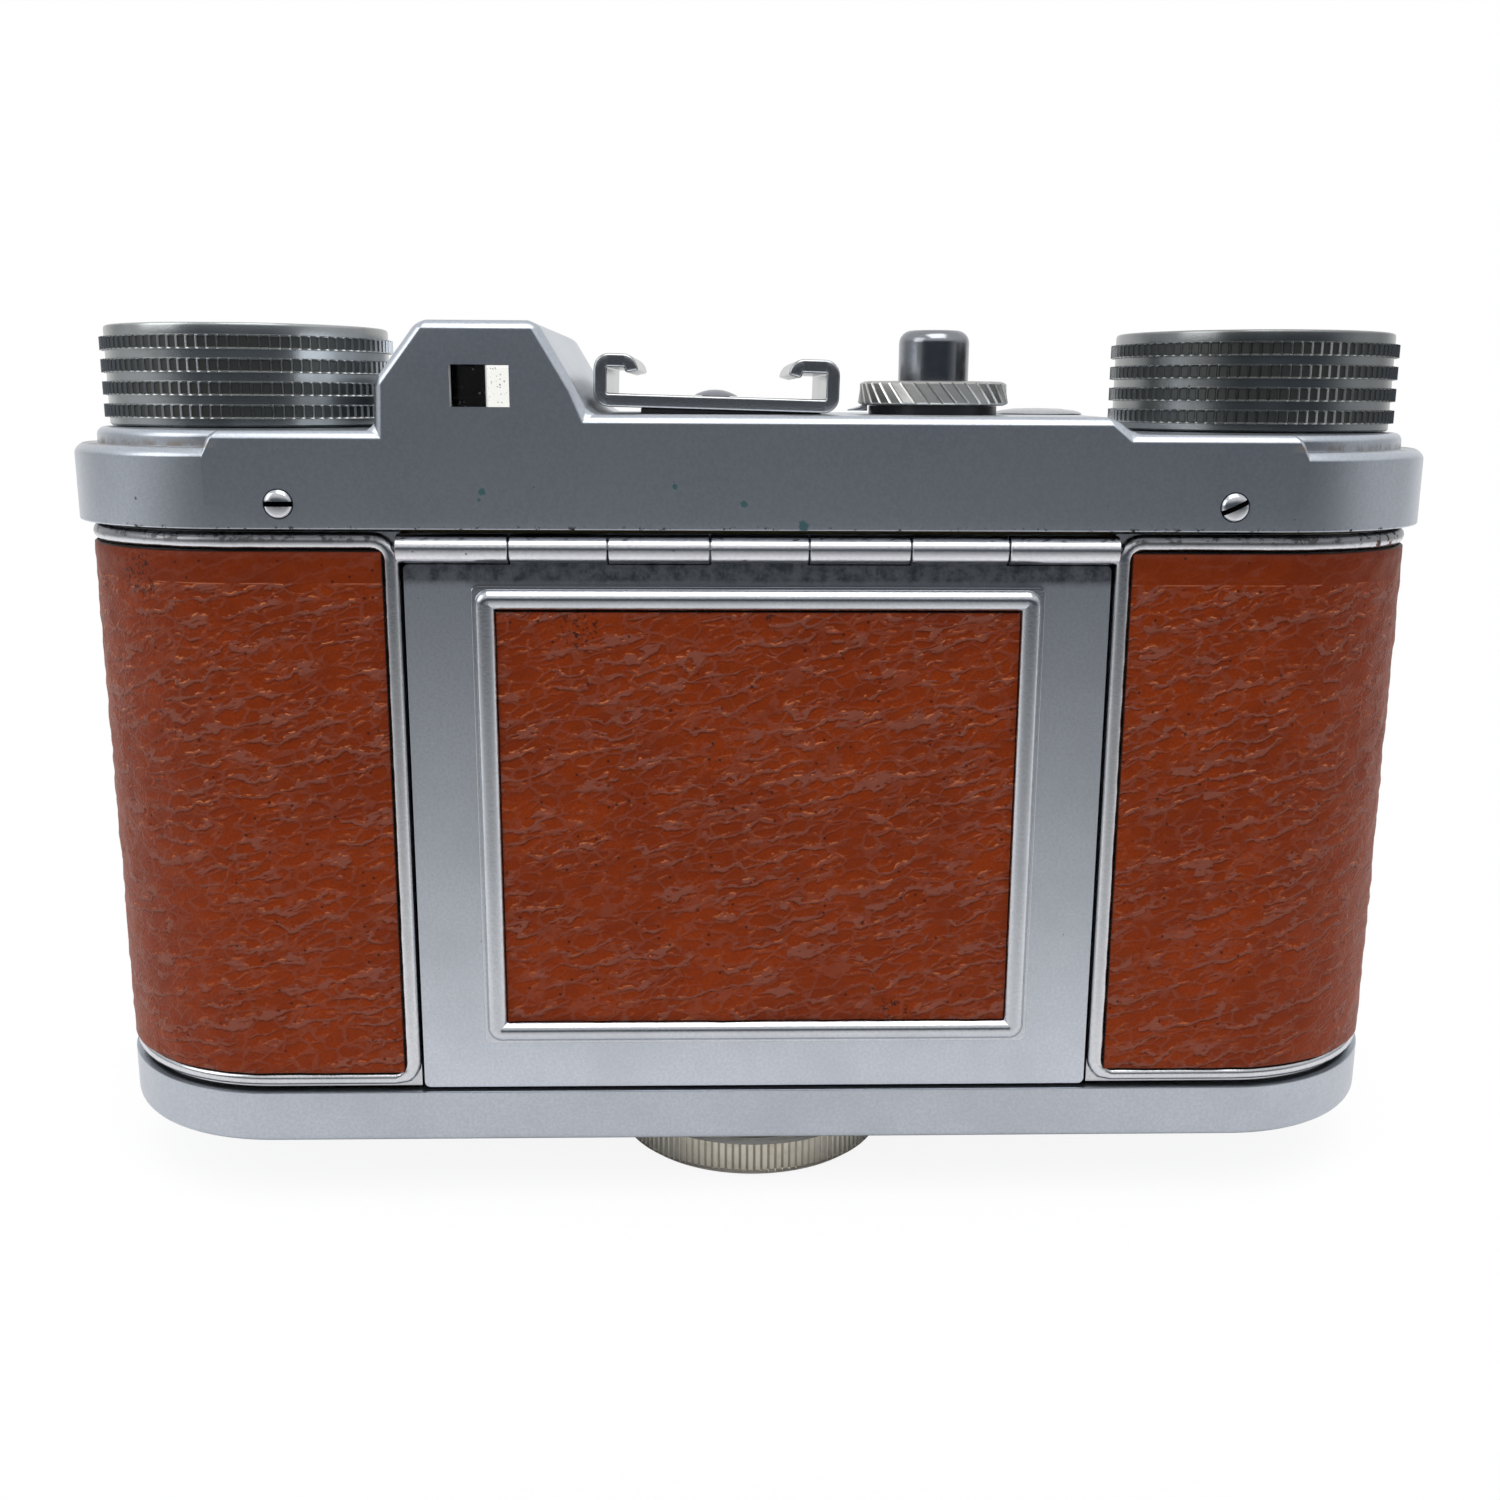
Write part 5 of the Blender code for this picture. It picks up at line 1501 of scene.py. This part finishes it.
# %% Base plate
base_low, base_high = in_mm("base_plate")
BASE_R = base_high.y
base = stadium("base", BASE_R, base_low.z, base_high.z, END_X)
bevel(base, at("z", base_low.z), 0.9, 6)
bevel(base, at("z", base_high.z), 0.12, 2)
combine(base, stadium("room", BASE_R - 1.0, 1.0, base_high.z + 1, END_X))
drill(base, 4.5, (0, 0, -1), 4)
# Painted shade: the base's chrome is darker than the cover's, for the shaded floor that it mirrors.
base_chrome_shaded = satin_chrome("satin_chrome_base_shaded", (0.455, 0.485, 0.53))
settle(base, "base", "satin_chrome", base_chrome_shaded, "base_plate", angle=35)

# %% Lock knob
lock_low, lock_high = in_mm("lock_knob")
LOCK_R = (lock_high.x - lock_low.x) / 2
LOCK_FOOT = lock_low.z
LOCK_TOP = -1.98
FLUTES = 118
TRIPOD_R = 3.2
STUD_R = 4.2

lock_profile = [(TRIPOD_R, 0.5), (TRIPOD_R, LOCK_FOOT + 0.3), (TRIPOD_R + 0.3, LOCK_FOOT),
                (10.9, LOCK_FOOT), (12.2, LOCK_FOOT + 0.18), (LOCK_R, LOCK_FOOT + 0.65),
                (LOCK_R, LOCK_TOP - 0.55), (12.3, LOCK_TOP - 0.1), (11.9, LOCK_TOP), (7.0, LOCK_TOP),
                (7.0, -0.35), (STUD_R, -0.35), (STUD_R, lock_high.z - 0.4), (STUD_R - 0.4, lock_high.z)]
lock = turned("lock", lock_profile, FLUTES)
knurl(lock, band(LOCK_FOOT + 0.7, LOCK_TOP - 0.6, LOCK_R - 0.1), 0.14, -0.22)
lock_nickel = grip_nickel("nickel_lock", (0.58, 0.545, 0.475), (0, 0, 0), LOCK_R, 0.3, 0.26,
                          (0.16, 0.12, 0.07))
settle(lock, "lock", "lock_nickel", lock_nickel, "lock_knob", angle=25)

# %% [markdown]
# ## Lens side
#
# The front is not in view from behind, but the camera is looked at from all sides. The lens panel is a
# disc with its top and bottom cut off flat. The shutter, its rings and the focusing lens are turned,
# and each ring has its own grip.

# %% Lens panel and shutter
panel_low, panel_high = in_mm("lens_panel")
PANEL_R = panel_high.x
deep = panel_high.y - panel_low.y
PANEL_BORE = 14.6


def on_lens(thing, y=0):
    """Lay a turned piece along the lens axis."""
    return stand(thing, (0, y, AXIS_Z), ALONG_LENS)


profile = [(PANEL_BORE, 0), (PANEL_R - 0.2, 0), (PANEL_R, 0.2), (PANEL_R, deep - 0.4),
           (PANEL_R - 0.4, deep), (PANEL_R - 2.0, deep), (PANEL_R - 2.3, deep - 0.2),
           (PANEL_BORE, deep - 0.2)]
panel = turned("panel", profile, 128, hollow=True)
flat_half = (panel_high.z - panel_low.z) / 2
for y0, y1 in ((flat_half, 40), (-40, -flat_half)):
    combine(panel, block("flat", (-40, y0, -5), (40, y1, 10)))
for x, y in ((18.5, 15.0), (-18.5, 15.0), (18.5, -15.0), (-18.5, -15.0)):
    drill(panel, 1.1, (x, y, deep - 0.7), 2, sides=24)
on_lens(panel, panel_low.y)
settle(panel, "body", "satin_alloy", alloy_satin, "lens_panel", angle=35)

case_low, case_high = in_mm("shutter_case")
CASE_R = case_high.x
CASE_Y = (case_low.y, case_high.y)
CASE_GROOVE = 24.3
CASE_BORE, LENS_BORE = 12.6, 14.2
NOSE_R = 21.5
profile = [(CASE_BORE, CASE_Y[0]), (CASE_R - 0.8, CASE_Y[0]), (CASE_R, CASE_Y[0] + 0.8),
           (CASE_R, CASE_GROOVE - 0.6), (CASE_R - 0.5, CASE_GROOVE), (NOSE_R, CASE_GROOVE),
           (NOSE_R, CASE_Y[1]), (LENS_BORE, CASE_Y[1]), (LENS_BORE, CASE_Y[1] - 4),
           (CASE_BORE, CASE_Y[1] - 4)]
case = turned("shutter", profile, 128, hollow=True)
on_lens(case)
settle(case, "body", "black_alloy", black_enamel, "shutter_case")

# %% [markdown]
# Three rings turn round the lens: for the speed, the stop and the distance. They differ only in size
# and in how their grip is cut, so one function makes them all, each from its own few numbers.

# %% Rings of the lens


def grip_ring(name, node_name, body, slot, finish, bore, sides, gap, depth, lip):
    """A ring on the lens axis whose outside is cut into a grip between two plain lips."""
    low, high = in_mm(node_name)
    radius = (high.x - low.x) / 2
    profile = [(bore, low.y), (radius - 0.5, low.y), (radius, low.y + 0.3), (radius, low.y + lip),
               (radius, high.y - lip), (radius, high.y - 0.3), (radius - 0.5, high.y), (bore, high.y)]
    ring = turned(name, profile, sides, hollow=True)
    knurl(ring, band(low.y + lip - HAIR, high.y - lip + HAIR, radius - 0.2), gap, depth)
    on_lens(ring)
    settle(ring, body, slot, finish, node_name, angle=25)


ring_alloy = plain_metal("ring_alloy", (0.55, 0.55, 0.55), 0.22)
grip_ring("ring_speed", "speed_ring", "speed", "knurled_nickel", ring_alloy, bore=NOSE_R + FIT, sides=150,
          gap=0.15, depth=-0.2, lip=0.6)
grip_ring("ring_aperture", "aperture_ring", "aperture", "satin_alloy", alloy_satin, bore=17.8, sides=120,
          gap=0.12, depth=-0.12, lip=0.6)
grip_ring("ring_focus", "focus_ring", "focus", "knurled_nickel", ring_alloy, bore=14.0, sides=72,
          gap=0.2, depth=-0.35, lip=1.2)

# %% [markdown]
# The cocking lever is a thin ring with an arm and a round finger end. The arm is a box whose end is
# drawn out, and it is joined to the ring before both are turned to the lever's place.

# %% Cocking lever
lever_low, lever_high = in_mm("cocking_lever")
LEVER_ANGLE = radians(-125)
LEVER_TIP_X = 27.4
LEVER_HALF = 1.2
profile = [(NOSE_R + FIT, lever_low.y), (CASE_R, lever_low.y), (CASE_R, lever_high.y),
           (NOSE_R + FIT, lever_high.y)]
lever = turned("lever", profile, 96, hollow=True)
on_lens(lever)
arm = block("arm", (CASE_R - 1.0, lever_low.y + 0.2, -LEVER_HALF),
            (LEVER_TIP_X, lever_high.y - 0.2, LEVER_HALF))
tip = turned("tip", [(LEVER_HALF, 0), (LEVER_HALF, lever_high.y - lever_low.y - 0.4)], 32)
combine(arm, stand(tip, (LEVER_TIP_X, lever_low.y + 0.2, 0), ALONG_LENS), "UNION")
stand(arm, (0, 0, AXIS_Z), (0, LEVER_ANGLE, 0))
combine(lever, arm, "UNION")
sharp_bevel(lever, 0.12)
settle(lever, "cocking", "bright_chrome", bright_steel, "cocking_lever")

# %% [markdown]
# The barrel slides out of the shutter for near subjects and holds the front glass behind a stepped
# cone, which keeps stray light off it. Each glass is turned from two shallow curves, and a black ring
# holds the front one in.

# %% Lens barrel and glasses
front_y = in_mm("lens_barrel")[1].y
profile = [(9.2, 27.5), (12.2, 27.5), (12.2, 31.0), (13.6, 31.0), (13.6, 39.6), (15.7, 40.0), (16.0, 40.4),
           (16.0, 41.4), (15.8, 41.6), (15.8, 42.2), (16.0, 42.4), (16.0, front_y - 0.4), (15.7, front_y),
           (14.8, front_y), (14.4, front_y - 0.6), (13.9, front_y - 1.6), (12.9, front_y - 2.0),
           (12.6, front_y - 2.3), (11.6, front_y - 2.5), (11.2, front_y - 2.9), (11.2, 36.4), (9.2, 36.4)]
barrel = turned("barrel", profile, 128, hollow=True)
on_lens(barrel)
settle(barrel, "lens", "satin_alloy", alloy_satin, "lens_barrel")


def lens_disc(name, node_name, body, radius, back, back_bulge, front, front_bulge):
    """A lens turned with two shallow curves."""
    spots = [radius * (i + 0.02) / 8 for i in range(9)]
    spots[-1] = radius
    rear = [(r, back + back_bulge * (1 - (r / radius) ** 2)) for r in spots]
    face = [(r, front + front_bulge * (1 - (r / radius) ** 2)) for r in reversed(spots)]
    disc = turned(name, rear + face, 96)
    on_lens(disc)
    settle(disc, body, "glass", lens_glass, node_name, angle=60)


lens_disc("glass_front", "front_lens", "lens", 10.2, 37.4, 0.5, 40.4, 1.6)
lens_disc("glass_rear", "rear_lens", "body", 8.0, 6.6, -0.8, 9.6, 0.5)
low, high = in_mm("lens_retainer")
profile = [(9.9, low.y), (10.9, low.y), (10.9, high.y), (10.3, high.y), (10.0, high.y - 0.9)]
retainer = turned("retainer", profile, 96, hollow=True)
on_lens(retainer)
settle(retainer, "lens", "black_alloy", black_matt, "lens_retainer")

# %% [markdown]
# ## Inside
#
# The film chamber, the gears and the small hidden pieces keep their CAD meshes, which already have
# the right shape. They only need finishes: painted castings, brass bushes and wheels, steel shafts.

# %% Finishes of the inner pieces
INNER = {
    cast_black: ("chassis", "takeup_spool"),
    black_matt: ("pressure_plate", "rear_cell"),
    finder_black: ("finder_tube",),
    turned_brass: ("mechanism_plate", "lock_bush", "rewind_bush", "wind_bush", "wind_gear",
                   "sprocket_gear"),
    spring_steel: ("hinge_pin", "pressure_spring", "lock_washer", "rewind_shaft", "wind_shaft",
                   "film_sprocket", "shutter_blades", "iris_blades"),
    finder_glass: ("eyepiece_glass", "finder_window"),
}
for finish, names in INNER.items():
    for name in names:
        cad_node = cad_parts[name]
        cad_node.data.materials.clear()
        cad_node.data.materials.append(finish)
    print(finish.name, "on", ", ".join(names))

# %% [markdown]
# ## Studio
#
# The camera stands on a white table. The table is drawn as plain white where the lens sees it, with a
# little of its shading mixed in, so that the shadow stays. Metal shows whatever is round it: white
# above and behind, grey at both sides and a dim room on the photographer's side. The table's colour is
# painted darker towards that side too, as the photographer's shadow, and the upright faces show that
# painted shadow as their grey from bottom to top.

# %% Floor


def seen_straight(tree):
    """A mask of the rays that come from the viewer, straight or through glass."""
    rays = node(tree, "LightPath", {}).outputs
    return calc(tree, "MAXIMUM", rays["Is Camera Ray"], rays["Is Transmission Ray"])


FLOOR_R = 0.5
FLOOR_Y = 0.05
SHADOW_START_Y = -0.055
SHADOW_FADE = 0.075
fresh()
bpy.ops.mesh.primitive_circle_add(vertices=128, radius=FLOOR_R, fill_type="NGON",
                                  location=(0, FLOOR_Y, 0))
floor = take("floor")
paper = bpy.data.materials.new("white_table")
paper.use_nodes = True
tree = paper.node_tree
shader = tree.nodes["Principled BSDF"]
coords = node(tree, "TexCoord", {}).outputs["Object"]
# Painted shadow: the table's colour darkens towards the viewer's side, as the photographer's shadow.
into_shadow = calc(tree, "MAXIMUM", calc(tree, "SUBTRACT", SHADOW_START_Y, axes(tree, coords)["Y"]), 0.0)
out_of_shadow = calc(tree, "EXPONENT", times(tree, into_shadow, -1 / SHADOW_FADE))
plug(tree, shader, {"Base Color": scaled(tree, out_of_shadow, 0.76, 0.19), "Roughness": 0.9})
glow = node(tree, "Emission", {"Color": (1, 1, 1), "Strength": 1.0}).outputs[0]
away = node(tree, "VectorMath", {0: coords}, operation="LENGTH").outputs["Value"]
white_share = times(tree, seen_straight(tree), ramp(tree, away, 0.06, 0.11, 0.9, 1.0))
blend = node(tree, "MixShader", {0: white_share, 1: shader.outputs[0], 2: glow})
tree.links.new(blend.outputs[0], tree.nodes["Material Output"].inputs["Surface"])
floor.data.materials.append(paper)
print("floor:", floor.name)

# %% [markdown]
# The room is only seen in the metal, so it is three soft steps of grey: a white far side, grey sides
# and a dim near side, under a pale ceiling. Straight rays see plain white instead.

# %% World
world = bpy.data.worlds.new("studio")
bpy.context.scene.world = world
world.use_nodes = True
tree = world.node_tree
sky = tree.nodes["Background"]
way = axes(tree, node(tree, "TexCoord", {}).outputs["Generated"])
sides = mixed(tree, ramp(tree, way["Y"], 0.3, 0.9), (0.50, 0.51, 0.53), (0.95, 0.95, 0.95))
walls = mixed(tree, ramp(tree, way["Y"], -0.2, -0.85), sides, (0.058, 0.071, 0.09))
room_light = mixed(tree, ramp(tree, way["Z"], 0.14, 0.46), walls, (0.85, 0.86, 0.88))
feed(tree, sky.inputs["Color"], mixed(tree, seen_straight(tree), room_light, (1, 1, 1)))
sky.inputs["Strength"].default_value = 1.0
print("world:", world.name)

# %% [markdown]
# Two large soft boxes stand on the viewer's side: the main one above, and a weak one at the left that
# keeps the end of the body from going dark. Their light is soft enough to leave no hard shadow.

# %% Lamps


def soft_lamp(name, place, target, size, power):
    """A square soft box that faces a point."""
    fresh()
    bpy.ops.object.light_add(type="AREA", location=place)
    lamp = bpy.context.object
    lamp.name = name
    lamp.data.size = size
    lamp.data.energy = power
    lamp.rotation_euler = (Vector(target) - Vector(place)).to_track_quat("-Z", "Y").to_euler()
    return lamp


HEART = (0, -0.01, 0.04)
soft_lamp("lamp_above", (0.05, -0.30, 0.62), HEART, 0.5, 2.2)
soft_lamp("lamp_left", (-0.55, -0.30, 0.35), HEART, 0.4, 0.8)

# %% [markdown]
# The viewpoint comes from a fit of the photograph's edges: close, a little above the cover, looking
# down by about twelve degrees through a wide lens.

# %% Viewpoint
VIEW_PLACE = (-0.0042, -0.15775, 0.0716)
VIEW_YAW = radians(-1.56)
VIEW_DOWN = radians(12.32)
VIEW_ROLL = radians(0.32)
FOCAL_PX = 1530
FRAME_PX = 1500
AXIS_ROW = 732
fresh()
bpy.ops.object.camera_add(location=VIEW_PLACE)
viewer = bpy.context.object
viewer.name = "viewpoint"
yaw, roll = (Matrix.Rotation(angle, 3, "Z") for angle in (VIEW_YAW, VIEW_ROLL))
turn = yaw @ Matrix.Rotation(pi / 2 - VIEW_DOWN, 3, "X") @ roll
viewer.rotation_euler = turn.to_euler()
viewer.data.sensor_width = 36.0
viewer.data.lens = viewer.data.sensor_width * FOCAL_PX / FRAME_PX
viewer.data.shift_y = (AXIS_ROW - FRAME_PX / 2) / FRAME_PX
viewer.data.clip_start = 0.005
bpy.context.scene.camera = viewer
bpy.context.scene.view_settings.view_transform = "Standard"
print("lens:", round(viewer.data.lens, 1), "mm")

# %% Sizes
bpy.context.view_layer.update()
faces = sum(len(thing.data.polygons) for thing in settled)
print(len(settled), "new pieces,", faces, "faces")
